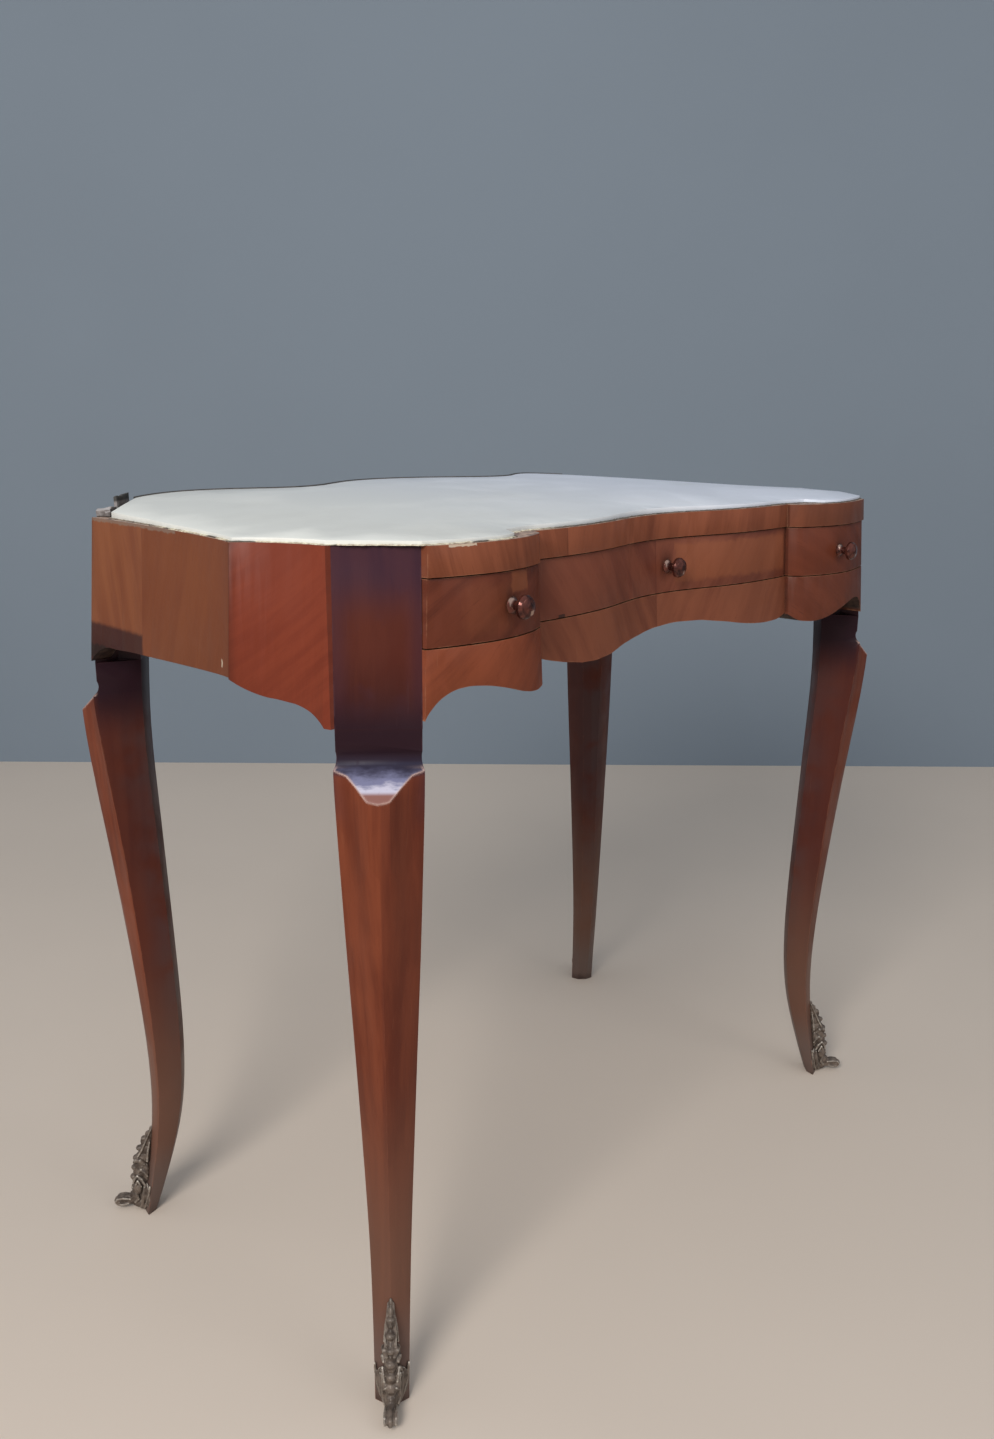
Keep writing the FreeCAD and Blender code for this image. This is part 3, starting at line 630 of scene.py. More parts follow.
# %% Veneer on the front
front_way = (0.0, -1.0, 0.0)
fronts = (front_way, front_cut)
rail_turn, middle_turn = math.radians(14.0), math.radians(36.0)
third_turn, half_turn, apron_turn = math.radians(58.0), math.radians(52.0), math.radians(30.0)
paint(["front_rail"], veneer(
    "rail_veneer", "x", -0.16, rail_turn, rail_tones, 0.3, *fronts, rail_marks))
paint(["drawer_left_front"], veneer(
    "left_front_veneer", "x", -0.40, third_turn, side_front_tones, 1.1, *fronts, left_front_marks))
paint(["drawer_right_front"], veneer(
    "right_front_veneer", "x", 0.40, third_turn, side_front_tones, 1.7, *fronts))
paint(["drawer_middle_front"], veneer(
    "middle_front_veneer", "x", 0.0, middle_turn, middle_front_tones, 2.3, *fronts,
    middle_front_marks))
paint(["apron_left"], veneer(
    "left_apron_veneer", "x", -0.42, half_turn, apron_tones, 3.1, *fronts, left_apron_marks))
paint(["apron_right"], veneer(
    "right_apron_veneer", "x", 0.42, half_turn, right_apron_shaded_tones, 3.7, *fronts))
middle_apron_veneer = veneer(
    "middle_apron_veneer", "x", 0.0, apron_turn, middle_apron_tones, 4.3, *fronts)
paint(["apron_middle"], middle_apron_veneer)

# %% [markdown]
# The end walls are folded along the depth of the table, at the joint that is seen on the left end.
# The right end isn't seen well, so it gets the same sheets without the marks. The back was never
# meant to be looked at: it is plain and a little duller.

# %% Veneer on the ends and the back
left_way, right_way, back_way = (-1.0, 0.0, 0.0), (1.0, 0.0, 0.0), (0.0, 1.0, 0.0)
end_joint_y = 0.077
end_turn, lobe_turn, back_turn = math.radians(17.0), math.radians(48.0), math.radians(24.0)
paint(["end_panel_left"], veneer(
    "left_end_veneer", "y", end_joint_y, end_turn, end_tones, 5.1, left_way, end_cut,
    left_end_marks, edge=end_edge))
paint(["end_panel_right"], veneer(
    "right_end_veneer", "y", end_joint_y, end_turn, end_tones, 5.9, right_way, end_cut,
    edge=end_edge))
for side, seed, way in (("left", 6.3, left_way), ("right", 6.7, right_way)):
    paint(["end_lobe_" + side], veneer(
        side + "_lobe_veneer", "y", 0.0, lobe_turn, lobe_tones, seed, way, end_cut,
        lobe_marks, streak_scale=120.0, edge=end_edge))
paint(["back_panel"], veneer(
    "back_veneer", "x", 0.0, back_turn, back_tones, 7.3, back_way, end_cut))

# %% [markdown]
# The long front apron was cut by eye: its left tip is clearly shorter than its right one, and the
# arch between them is a little flatter on the right. The imported board is the same on both sides, so
# a copy of it takes its place here. Only the points of its lower edge move, up or down by a few
# millimetres that are read from a short table and eased in between, so that the curve of its face
# and the joint with the rail stay as they were imported.

# %% Front apron with its uneven lower edge
mm = 0.001
weld_reach = 0.00002
facet_angle = math.radians(32.0)
# Place along the board in metres, and how far its lower edge goes up there in mm
edge_lifts = [
    (-0.2100, 16.0), (-0.1880, 14.4), (-0.1600, 9.3), (-0.1400, 5.1), (-0.1150, 1.3),
    (-0.0900, -1.6), (-0.0340, -3.9), (0.0000, -1.6), (0.0380, 1.2), (0.0640, 3.6),
    (0.1000, 4.9), (0.1650, 3.8), (0.2100, 4.6),
]


def edge_lift(x):
    for (x_low, low), (x_high, high) in zip(edge_lifts, edge_lifts[1:]):
        if x <= x_high:
            share = (x - x_low) / (x_high - x_low)
            share = share * share * (3.0 - 2.0 * share) * 0.5 + share * 0.5
            return (low + (high - low) * share) * mm
    return edge_lifts[-1][1] * mm


edge_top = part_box("apron_middle")[1][2] - 0.002
mesh = bmesh.new()
mesh.from_mesh(nodes["apron_middle"].data)
bmesh.ops.remove_doubles(mesh, verts=mesh.verts, dist=weld_reach)
for vertex in mesh.verts:
    if vertex.co.z < edge_top:
        vertex.co.z += edge_lift(vertex.co.x)
apron_data = bpy.data.meshes.new("front_apron_board")
mesh.to_mesh(apron_data)
mesh.free()
if "custom_normal" in apron_data.attributes:
    apron_data.attributes.remove(apron_data.attributes["custom_normal"])
apron_data.polygons.foreach_set("use_smooth", [True] * len(apron_data.polygons))
apron_data.set_sharp_from_angle(angle=facet_angle)
apron_data.materials.clear()
apron_data.materials.append(middle_apron_veneer)
front_apron = bpy.data.objects.new("front_apron_board", apron_data)
scene.collection.objects.link(front_apron)
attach(front_apron, "case")
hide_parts("apron_middle")
print("apron faces", len(apron_data.polygons))

# %% [markdown]
# The legs are of one darker, redder wood with the grain running down them. Their heads, the canted
# bands at the corners of the case, are almost purple, with painted shade at the top and a painted
# reflection along the sides over cloudy old polish, and the scooped seat above the knee is rubbed to
# a dull lilac grey under a painted highlight. All four legs are alike, so the group below folds them
# onto one: it says how far outward and how far sideways a point lies from its own corner of the
# case, and how far its surface looks outward.

# %% Shader group: place on a leg
corner_group, taken, given = start_group(
    "place_on_leg",
    [("Vector", "Vector", None), ("Normal", "Vector", None)],
    [("Outward", "Float"), ("Sideways", "Float"), ("Looks Out", "Float")],
)
corner_x, corner_y, middle_y = 0.364, 0.187, 0.0094
tree = corner_group
split = axes_of(tree, taken["Vector"])
turned = axes_of(tree, taken["Normal"])
from_middle = maths(tree, "SUBTRACT", split[1], middle_y)
past_x = maths(tree, "SUBTRACT", maths(tree, "ABSOLUTE", split[0]), corner_x)
past_y = maths(tree, "SUBTRACT", maths(tree, "ABSOLUTE", from_middle), corner_y)
half_root = math.sqrt(0.5)
looks_x = times(tree, maths(tree, "SIGN", split[0]), turned[0])
looks_y = times(tree, maths(tree, "SIGN", from_middle), turned[1])
results = {
    "Outward": times(tree, maths(tree, "ADD", past_x, past_y), half_root),
    "Sideways": times(tree, maths(tree, "SUBTRACT", past_x, past_y), half_root),
    "Looks Out": times(tree, maths(tree, "ADD", looks_x, looks_y), half_root),
}
for name, value in results.items():
    tree.links.new(value, given[name])
print("group", corner_group.name)

# %% [markdown]
# On the real legs the two front facets are a warm red brown and the flanks are darker. Here the
# facet beyond the ridge also gets painted shade, and the hollow back a painted cool sheen. Towards
# the foot the colour turns greyer. The helper fades from one to the next with the values of the group
# above. Separate materials for each face would show hard joints that the wood doesn't have.

# %% Leg colours below the knee
leg_tones = (tint(128, 66, 43), tint(108, 52, 33), tint(86, 38, 25))
shade_tone, flank_tone, back_painted_sheen = tint(72, 33, 29), tint(58, 26, 24), tint(70, 62, 64)
foot_tone, tip_tone = tint(108, 80, 66), tint(100, 86, 80)


def shaft_colour(tree, leg, height, cloud, colour):
    flank = times(tree, ramp(tree, leg["Looks Out"], 0.45, 0.1), 0.7)
    colour = blend(tree, flank, colour, flank_tone)
    # The hollow back gets a painted cool sheen in cloudy patches
    back = times(tree, ramp(tree, leg["Looks Out"], -0.3, -0.8), ramp(tree, cloud, 0.3, 0.6))
    colour = blend(tree, times(tree, back, 0.6), colour, back_painted_sheen)
    # The facet beyond the ridge gets painted shade, and the ridge wanders a little down the leg
    ridge = times(tree, maths(tree, "SUBTRACT", 0.45, height), 0.016)
    beyond = ramp(tree, maths(tree, "SUBTRACT", leg["Sideways"], ridge), 0.0014, -0.0014)
    colour = blend(tree, times(tree, beyond, 0.3), colour, shade_tone)
    colour = blend(tree, times(tree, ramp(tree, height, 0.34, 0.10), 0.7), colour, foot_tone)
    return blend(tree, times(tree, ramp(tree, height, 0.10, 0.03), 0.7), colour, tip_tone)


print("leg place from", corner_group.name)

# %% [markdown]
# The canted band at the head of a leg is red in the middle and nearly black at its end. Its top is
# purple with painted shade under the sheet and its sides purple with a painted reflection, with cloudy
# patches over both. That dark end fades through the recessed neck, which takes a painted bluish
# reflection just above the seat. Heights in the frame place all of it, because all legs are level.

# %% Leg colours of the band and the neck
band_shade_and_sheen_tone, band_middle_tone, band_low_tone = tint(42, 30, 48), tint(70, 28, 21), tint(44, 14, 16)
neck_tone, neck_low_sheen = tint(38, 19, 27), tint(46, 42, 58)
band_end_z, neck_end_z = 0.5985, 0.5690


def band_colour(tree, leg, height, cloud, streaked):
    band = blend(tree, ramp(tree, height, 0.62, 0.66), band_low_tone, band_middle_tone)
    # Purple painted shade at the top of the band, under the sheet
    band = blend(tree, ramp(tree, height, 0.672, 0.715), band, band_shade_and_sheen_tone)
    # Purple painted reflection along the sides, with cloudy patches from noise
    sides = ramp(tree, maths(tree, "ABSOLUTE", leg["Sideways"]), 0.016, 0.032)
    sheen_and_cloud = times(tree, maths(tree, "MAXIMUM", sides, ramp(tree, cloud, 0.5, 0.7)), 0.5)
    band = blend(tree, sheen_and_cloud, band, band_shade_and_sheen_tone)
    return blend(tree, 0.2, band, streaked)


def with_neck(tree, leg, height, colour):
    # Low on the neck, what looks outward gets a painted bluish reflection
    neck_sheen = times(tree, ramp(tree, height, 0.586, 0.562), ramp(tree, leg["Looks Out"], 0.3, 0.7))
    neck_colour = blend(tree, neck_sheen, neck_tone, neck_low_sheen)
    hollow = times(tree, ramp(tree, height, 0.515, 0.575), ramp(tree, leg["Outward"], 0.014, 0.006))
    neck = maths(tree, "MAXIMUM", ramp(tree, height, neck_end_z - 0.008, neck_end_z), hollow)
    neck = times(tree, neck, ramp(tree, height, band_end_z + 0.034, band_end_z - 0.004))
    return blend(tree, neck, colour, neck_colour)


print("band ends at", band_end_z, "and the neck at", neck_end_z)

# %% [markdown]
# A mount that is lost once sat on the scooped seat. The bare wood there is brushed to a lilac grey,
# and a painted highlight turns it nearly white towards the front; a thin pale rim is rubbed where the
# seat meets the facets. The seat is the only face of a leg that looks up at its height, so its normal
# finds it. The rim is where a rounded normal leaves the true one.

# %% Leg colours of the seat and its rim
seat_tones_with_highlight = (tint(66, 64, 84), tint(116, 116, 144), tint(190, 186, 202), tint(136, 94, 86))
rim_tone = tint(200, 170, 160)
brush_squeeze, brush_reach = 0.28, 0.013


def with_seat(tree, leg, split, looks_up, colour):
    height = split[2]
    brushed = put(tree, "CombineXYZ", {
        0: times(tree, leg["Sideways"], brush_squeeze), 1: leg["Outward"],
        2: maths(tree, "SIGN", split[0]),
    }).outputs[0]
    brush = speckle(tree, brushed, 240.0, 4.0, 0.6)
    brush = times(tree, maths(tree, "SUBTRACT", brush, 0.5), brush_reach)
    reach = maths(tree, "ADD", leg["Outward"], brush)
    seat = blend(tree, ramp(tree, reach, 0.011, 0.018), seat_tones_with_highlight[0], seat_tones_with_highlight[1])
    # Towards the front a painted highlight turns the seat nearly white
    seat = blend(tree, ramp(tree, reach, 0.0185, 0.0225), seat, seat_tones_with_highlight[2])
    seat = blend(tree, ramp(tree, leg["Outward"], 0.0235, 0.0265), seat, seat_tones_with_highlight[3])
    seat = blend(tree, ramp(tree, reach, 0.013, 0.008), seat, neck_low_sheen)
    between = times(tree, ramp(tree, height, 0.5, 0.54), ramp(tree, height, 0.6, 0.585))
    return blend(tree, times(tree, ramp(tree, looks_up, 0.3, 0.55), between), colour, seat)


def with_rim(tree, leg, height, colour):
    rounded = put(tree, "Bevel", {"Radius": 0.0030}, samples=6).outputs[0]
    sharp = put(tree, "NewGeometry").outputs["True Normal"]
    rim = ramp(tree, dot_of(tree, rounded, sharp), 0.99, 0.93)
    tilted = ramp(tree, axes_of(tree, rounded)[2], 0.2, 0.3)
    span = times(tree, ramp(tree, height, 0.530, 0.537), ramp(tree, height, 0.572, 0.567))
    rim = times(tree, rim, times(tree, tilted, span))
    rim = times(tree, rim, ramp(tree, leg["Outward"], 0.004, 0.010))
    return blend(tree, times(tree, rim, 0.85), colour, rim_tone)


print("seat tones", len(seat_tones_with_highlight))

# %% [markdown]
# The finish lays these colours over the wood figure from the foot upward, and ends with the wear
# that all wood gets. Worn edges are pale on the leg but stay dark on the band, whose edges are
# sheltered by the walls beside it.

# %% Leg finish
worn_leg_edge, worn_band_edge = tint(150, 96, 72), tint(74, 46, 52)
leg_rough, leg_shine = 0.34, 0.12


def leg_finish():
    material, tree, shader = start_material("leg_wood_finish")
    place = put(tree, "TexCoord").outputs["Object"]
    normal = put(tree, "NewGeometry").outputs["Normal"]
    split = axes_of(tree, place)
    height = split[2]
    leg = use_group(tree, corner_group, {"Vector": place, "Normal": normal})
    pale, middle, dark = leg_tones
    wood = use_group(tree, figure_group, {
        "Vector": place, "Pale": pale, "Middle": middle, "Dark": dark,
        "Streak Scale": 75.0, "Stretch": 0.05,
    })
    cloud = speckle(tree, place, 26.0, 3.0)
    colour = shaft_colour(tree, leg, height, cloud, wood["Color"])
    band = band_colour(tree, leg, height, cloud, wood["Color"])
    on_band = ramp(tree, height, band_end_z - 0.001, band_end_z + 0.001)
    colour = with_neck(tree, leg, height, blend(tree, on_band, colour, band))
    colour = with_seat(tree, leg, split, axes_of(tree, normal)[2], colour)
    colour = with_rim(tree, leg, height, colour)
    edge_tone = blend(tree, ramp(tree, height, 0.525, 0.55), worn_leg_edge, worn_band_edge)
    finish_wood(
        tree, shader, place, colour, wood["Height"], leg_rough, edge_tone, grime_and_shade_tone, leg_shine)
    return material


leg_names = [name for name in nodes if name.startswith("leg_")]
paint(leg_names, leg_finish())

# %% [markdown]
# The boards inside are plain oak that nobody polished. They are dry, pale and a little furry. The
# same wood figure serves, only lighter and with far less gloss.

# %% Inner wood finish
oak_tones = (tint(196, 164, 120), tint(170, 134, 94), tint(128, 94, 62))
# The dark oak tone goes into the hollows as dirt and painted shade
oak_edge, oak_shade_and_dirt, oak_rough = tint(208, 180, 140), tint(70, 52, 38), 0.68


def oak_finish(name, turn):
    material, tree, shader = start_material(name)
    place = put(tree, "TexCoord").outputs["Object"]
    turned = put(tree, "Mapping", {"Vector": place, "Rotation": turn}).outputs[0]
    pale, middle, dark = oak_tones
    wood = use_group(tree, figure_group, {
        "Vector": turned, "Pale": pale, "Middle": middle, "Dark": dark, "Streak Scale": 110.0,
    })
    finish_wood(tree, shader, place, wood["Color"], wood["Height"], oak_rough, oak_edge, oak_shade_and_dirt)
    return material


quarter = math.pi / 2.0
oak_along_y = oak_finish("oak_front_to_back", (quarter, 0.0, 0.0))
oak_along_x = oak_finish("oak_side_to_side", (0.0, quarter, 0.0))
lengthwise = ["drawer_runners", "drawer_guides", "drawer_kickers", "glue_blocks", "drawer_stops"]
lengthwise += ["drawer_divider_left", "drawer_divider_right"]
crosswise = ["case_top_board"]
for drawer in ("left", "middle", "right"):
    lengthwise += [f"drawer_{drawer}_side_left", f"drawer_{drawer}_side_right"]
    crosswise += [f"drawer_{drawer}_bottom", f"drawer_{drawer}_back"]
paint(lengthwise, oak_along_y)
paint(crosswise, oak_along_x)

# %% [markdown]
# The top is a thin pale sheet, smooth and slightly glossy, with faint stains. It gets painted warm
# light on the left and a painted cool reflection on the right. Two tones that blend along the front
# are enough: a sharper pattern would look like stone or cloth.

# %% Pale sheet of the top
sheet_warm_light, sheet_cool_reflection, sheet_stain = tint(228, 228, 221), tint(229, 233, 244), tint(200, 198, 190)


def sheet_finish():
    material, tree, shader = start_material("pale_sheet")
    place = put(tree, "TexCoord").outputs["Object"]
    # Painted warm light on the left and a painted cool reflection on the right
    across = ramp(tree, axes_of(tree, place)[0], -0.4, 0.3)
    colour = blend(tree, across, sheet_warm_light, sheet_cool_reflection)
    stain = speckle(tree, place, 5.0, 5.0, 0.6)
    colour = blend(tree, times(tree, ramp(tree, stain, 0.5, 0.75), 0.3), colour, sheet_stain)
    scuff = use_group(tree, scuff_group, {"Vector": place, "Scale": 0.7})
    rough = maths(tree, "ADD", times(tree, scuff["Smear"], 0.16), 0.38)
    bump = relief(tree, stain, 0.1, 0.0006)
    wire(tree, shader, {"Base Color": colour, "Roughness": rough, "Normal": bump})
    return material


paint(["top_panel"], sheet_finish())

# %% [markdown]
# The strip behind the top and the broken blocks are of a dark wood that nobody dusts: grey on what
# looks up, with a painted shadow along the strip's upper edge, where the photograph shows a thin dark
# line. Its height tells that edge from the rest, so one material serves all three pieces.

# %% Dusty dark wood
dusty_tones = (tint(176, 170, 168), tint(136, 129, 126), tint(74, 66, 64))
thick_dust, strip_edge_shadow, knocked_edge = tint(186, 180, 178), tint(48, 48, 44), tint(150, 140, 138)
edge_from_z, edge_full_z, dusty_rough = 0.7400, 0.7425, 0.7


def dusty_dark_finish():
    material, tree, shader = start_material("dusty_dark_wood")
    place = put(tree, "TexCoord").outputs["Object"]
    pale, middle, dark = dusty_tones
    wood = use_group(tree, figure_group, {
        "Vector": place, "Pale": pale, "Middle": middle, "Dark": dark,
        "Streak Scale": 180.0, "Stretch": 1.0,
    })
    rise = axes_of(tree, put(tree, "NewGeometry").outputs["True Normal"])[2]
    dusty = ramp(tree, rise, 0.3, 0.8)
    colour = blend(tree, times(tree, dusty, 0.75), wood["Color"], thick_dust)
    # Painted shadow along the upper edge of the strip
    on_edge = ramp(tree, axes_of(tree, place)[2], edge_from_z, edge_full_z)
    colour = blend(tree, times(tree, on_edge, 0.85), colour, strip_edge_shadow)
    finish_wood(tree, shader, place, colour, wood["Height"], dusty_rough, knocked_edge, grime_and_shade_tone)
    return material


dark_wood = dusty_dark_finish()
paint(["top_back_lip"], dark_wood)

# %% [markdown]
# The mounts on the feet and the knobs are bronze. Bronze that has stood for a century is brown,
# with a dull green grey in its hollows, and only what hands or mops rub still shows metal. The
# crests of the casting are found by how sharply the mesh bulges, so the same mask makes them paler,
# brighter as metal and glossier. On a mount they stay pale on the flanks only, as rubbed wear with
# painted highlight. A knob has hardly any crests, so worn edges serve it instead.

# %% Bronze finish
def bronze_finish(name, tones, patina_rough, crests, plain_metal=0.2, highlight_marks=()):
    material, tree, shader = start_material(name)
    patina, hollow, rubbed = tones
    place = put(tree, "TexCoord").outputs["Object"]
    wear = use_group(tree, wear_group, {
        "Vector": place, "Width": 0.0012, "Break Up": 220.0, "Reach": 0.005,
    })
    blot = speckle(tree, place, 160.0, 5.0)
    bulge = put(tree, "NewGeometry").outputs["Pointiness"]
    # Along the very front of a mount the crests are dull again: its flanks keep them pale, as rubbed
    # wear with painted highlight
    beside = maths(tree, "ABSOLUTE", axes_of(tree, place)[1])
    crest = times(tree, ramp(tree, bulge, *crests), ramp(tree, blot, 0.3, 0.55))
    flank = maths(tree, "ADD", ramp(tree, beside, 0.0030, 0.0070), 0.25, clamp=True)
    crest = times(tree, crest, flank)
    wear_and_highlight = maths(tree, "MAXIMUM", crest, times(tree, wear["Edge"], 0.7))
    # Painted highlights at given places turn to pale bare metal
    for centre, half in highlight_marks:
        wear_and_highlight = add_mark(tree, place, wear_and_highlight, white, centre, half, 0.0005, 0.0012, 0.8)
    low = maths(tree, "MAXIMUM", wear["Hollows"], ramp(tree, bulge, 0.49, 0.45))
    colour = blend(tree, ramp(tree, blot, 0.35, 0.65), patina, hollow)
    colour = blend(tree, times(tree, times(tree, low, 0.85), flank), colour, hollow)
    colour = blend(tree, times(tree, wear_and_highlight, 0.85), colour, rubbed)
    metal = maths(tree, "ADD", times(tree, wear_and_highlight, 0.35), plain_metal, clamp=True)
    rough = maths(tree, "SUBTRACT", patina_rough, times(tree, wear_and_highlight, 0.16))
    rough = maths(tree, "ADD", rough, times(tree, blot, 0.12))
    bump = relief(tree, blot, 0.35, 0.0003)
    wire(tree, shader, {"Base Color": colour, "Metallic": metal, "Roughness": rough, "Normal": bump})
    return material


foot_tones = (tint(114, 100, 89), tint(72, 60, 52), tint(226, 216, 202))
mount_bronze = bronze_finish("foot_bronze", foot_tones, 0.40, (0.512, 0.56))
paint(["foot_mount_pins"], mount_bronze)

# %% [markdown]
# Each knob gets two painted highlights: one low on its head and one on top of its neck. They are
# marks like those on the veneer, placed from the box of each knob, and the bronze turns to bare metal
# there. A small lamp aimed at each knob could give real highlights there, but only for one view.

# %% Knobs
knob_tones = (tint(108, 60, 50), tint(58, 30, 27), tint(226, 190, 172))
# Sizes of the painted highlights on head and neck
head_highlight_size, neck_highlight_size = (0.0020, 0.0035, 0.0016), (0.0028, 0.0040, 0.0030)
knob_highlight_marks = []
for drawer in ("left", "middle", "right"):
    low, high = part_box(f"drawer_{drawer}_knob")
    centre_x, centre_z = (low[0] + high[0]) / 2.0, (low[2] + high[2]) / 2.0
    head_highlight_place = (centre_x + 0.0035, low[1] + 0.001, centre_z - 0.0045)
    neck_highlight_place = (centre_x - 0.0020, low[1] + 0.020, centre_z + 0.0030)
    knob_highlight_marks += [(head_highlight_place, head_highlight_size), (neck_highlight_place, neck_highlight_size)]
knob_bronze = bronze_finish(
    "knob_bronze", knob_tones, 0.14, (0.55, 0.62), plain_metal=0.6, highlight_marks=knob_highlight_marks)
paint([name for name in nodes if name.endswith("_knob")], knob_bronze)

# %% [markdown]
# Each foot stands in a cast mount: a slim fin of stacked leaf tips climbs the front arris of the leg,
# curls and a pair of chevrons lie on its flanks, a bead ends it on the leg's facets, and a rolled
# toe sticks out below. The founder made it from a wax, and so does this step: lumps and rolls of
# wax are laid on each other, then melted into one skin by a voxel remesh and smoothed a little.
# Sculpting by hand would be freer, but rolls with named places can be moved one at a time.

# %% Wax lumps and rolls
wax_voxel = 0.0006


def wax_ball(mesh, centre, radii, angle=0.0):
    matrix = Matrix.Translation(centre) @ Matrix.Rotation(angle, 4, "Z")
    matrix = matrix @ Matrix.Diagonal((*radii, 1.0))
    bmesh.ops.create_icosphere(mesh, subdivisions=2, radius=1.0, matrix=matrix)


def wax_roll(mesh, stops, spacing=0.0008):
    """A roll of wax through stops of (outward, sideways, height, radius), as a row of close balls."""
    for first, second in zip(stops, stops[1:]):
        start, end = Vector(first[:3]), Vector(second[:3])
        count = max(2, int((end - start).length / spacing))
        for step in range(count + 1):
            share = step / count
            radius = first[3] + (second[3] - first[3]) * share
            wax_ball(mesh, start.lerp(end, share), (radius, radius, radius))


def melt(mesh, name, smoothing):
    """Turns overlapping wax into one smooth skin."""
    data = bpy.data.meshes.new(name + "_wax")
    mesh.to_mesh(data)
    mesh.free()
    wax = bpy.data.objects.new(name + "_wax", data)
    scene.collection.objects.link(wax)
    remesh = wax.modifiers.new("remesh", "REMESH")
    remesh.mode = "VOXEL"
    remesh.voxel_size = wax_voxel
    smooth = wax.modifiers.new("smooth", "SMOOTH")
    smooth.factor = 0.5
    smooth.iterations = smoothing
    bpy.context.view_layer.update()
    melted = wax.evaluated_get(bpy.context.evaluated_depsgraph_get())
    skin = bpy.data.meshes.new_from_object(melted)
    bpy.data.objects.remove(wax)
    skin.name = name
    for face in skin.polygons:
        face.use_smooth = True
    return skin


print("wax voxel in mm", wax_voxel / mm)

# %% [markdown]
# The tables below are one mount, read off the photograph and turned into places on the leg: outward
# from its corner, sideways and up. Only one flank is written down, because both are alike.

# %% The wax of one mount
# Body of the fin: outward, height, and half sizes outward, sideways and upward, all in mm
fin_lumps = [
    (-2.6, 92.5, 2.6, 1.8, 5.0), (0.4, 86.5, 4.4, 2.4, 5.6), (3.4, 79.0, 6.6, 3.1, 6.4),
    (5.2, 70.0, 8.2, 3.8, 7.0), (7.2, 61.0, 9.2, 4.5, 7.4), (8.8, 52.0, 9.6, 5.2, 7.6),
    (10.4, 43.0, 9.6, 5.8, 7.8), (11.6, 34.0, 9.6, 6.4, 7.8), (13.0, 24.5, 10.0, 6.6, 8.0),
    (15.0, 15.0, 10.4, 6.2, 8.0), (14.0, 6.8, 9.0, 5.6, 6.6), (23.0, 9.4, 9.0, 4.8, 5.2),
    (30.0, 9.6, 8.0, 4.6, 4.6),
]
# Leaf tips that curl outward one above the other along the front of the fin: outward, height, radius
leaf_stretch, leaf_breadth = 1.3, 0.8
leaf_tips = [
    (5.6, 83.0, 2.6), (11.0, 71.5, 3.0), (14.6, 60.0, 3.4), (17.0, 48.5, 3.4), (18.8, 37.5, 3.4),
]
# Rolls on each flank: outward, sideways, height, radius
flank_rolls = [
    [(17.0, 3.2, 56.0, 1.6), (14.0, 4.9, 59.6, 2.6), (10.0, 5.6, 59.4, 2.7), (6.0, 5.6, 55.6, 1.7)],
    [(12.0, 6.0, 47.0, 1.6), (9.0, 6.6, 49.4, 2.3), (5.6, 7.0, 47.0, 2.0), (3.2, 7.4, 42.5, 1.3)],
    [(19.0, 5.4, 33.0, 1.2), (16.6, 6.4, 38.4, 1.5), (13.6, 6.9, 41.8, 1.6), (9.4, 7.6, 38.4, 1.5),
     (5.4, 8.6, 31.0, 1.2)],
    [(16.4, 7.1, 30.0, 1.0), (13.6, 7.6, 36.2, 1.3), (10.0, 8.2, 30.0, 1.0)],
    [(6.0, 8.6, 30.0, 1.9), (7.6, 8.4, 20.0, 2.6), (10.4, 7.0, 8.0, 2.2), (12.4, 5.6, 3.4, 1.6)],
    [(-0.6, 14.6, 34.0, 1.0), (0.2, 14.2, 29.0, 1.4), (2.6, 12.6, 19.0, 1.5), (5.8, 9.8, 9.0, 1.5),
     (9.4, 6.0, 2.4, 1.4)],
    [(-2.0, 2.2, 93.0, 0.9), (3.0, 3.2, 82.0, 1.2), (8.0, 4.2, 71.0, 1.3), (12.6, 4.4, 63.0, 1.0)],
    [(-0.6, 3.6, 80.0, 1.0), (1.4, 4.8, 70.0, 1.4), (2.6, 5.8, 59.0, 1.2)],
    [(20.0, 4.4, 27.0, 1.2), (16.0, 6.6, 23.0, 1.8), (14.4, 7.0, 15.0, 1.8), (18.0, 5.8, 10.0, 1.4)],
    [(24.0, 4.4, 12.6, 1.3), (31.0, 4.6, 13.4, 1.5), (36.8, 4.6, 12.4, 1.5), (39.2, 4.4, 9.2, 1.5),
     (36.8, 4.6, 6.2, 1.4), (31.0, 4.6, 6.0, 1.3), (26.0, 4.4, 7.2, 1.1)],
]
# Lumps on each flank: outward, sideways, height, three half sizes, and the turn of their facet
flank_lumps = [
    (14.2, 5.4, 26.0, 4.8, 3.4, 6.6, 0.0), (4.6, 4.8, 46.0, 3.8, 3.4, 11.0, 0.0),
    (4.0, 7.6, 17.0, 2.6, 8.0, 17.5, 0.52),
]
toe_core = (36.0, 9.0, 3.0, 5.8, 3.0)
toe_roll = [
    (20.0, 0.0, 15.0, 3.4), (27.0, 0.0, 12.8, 3.0), (33.5, 0.0, 12.4, 2.6), (38.4, 0.0, 11.0, 2.4),
    (39.8, 0.0, 8.2, 2.2), (37.4, 0.0, 5.6, 2.0), (32.6, 0.0, 5.0, 1.8),
]
print("lumps of the fin", len(fin_lumps), "rolls on a flank", len(flank_rolls))

# %% [markdown]
# All the wax of one mount is melted together and set on the four feet, each turned to look outward
# along the diagonal of its corner. The four share one mesh, as four castings share a mould.

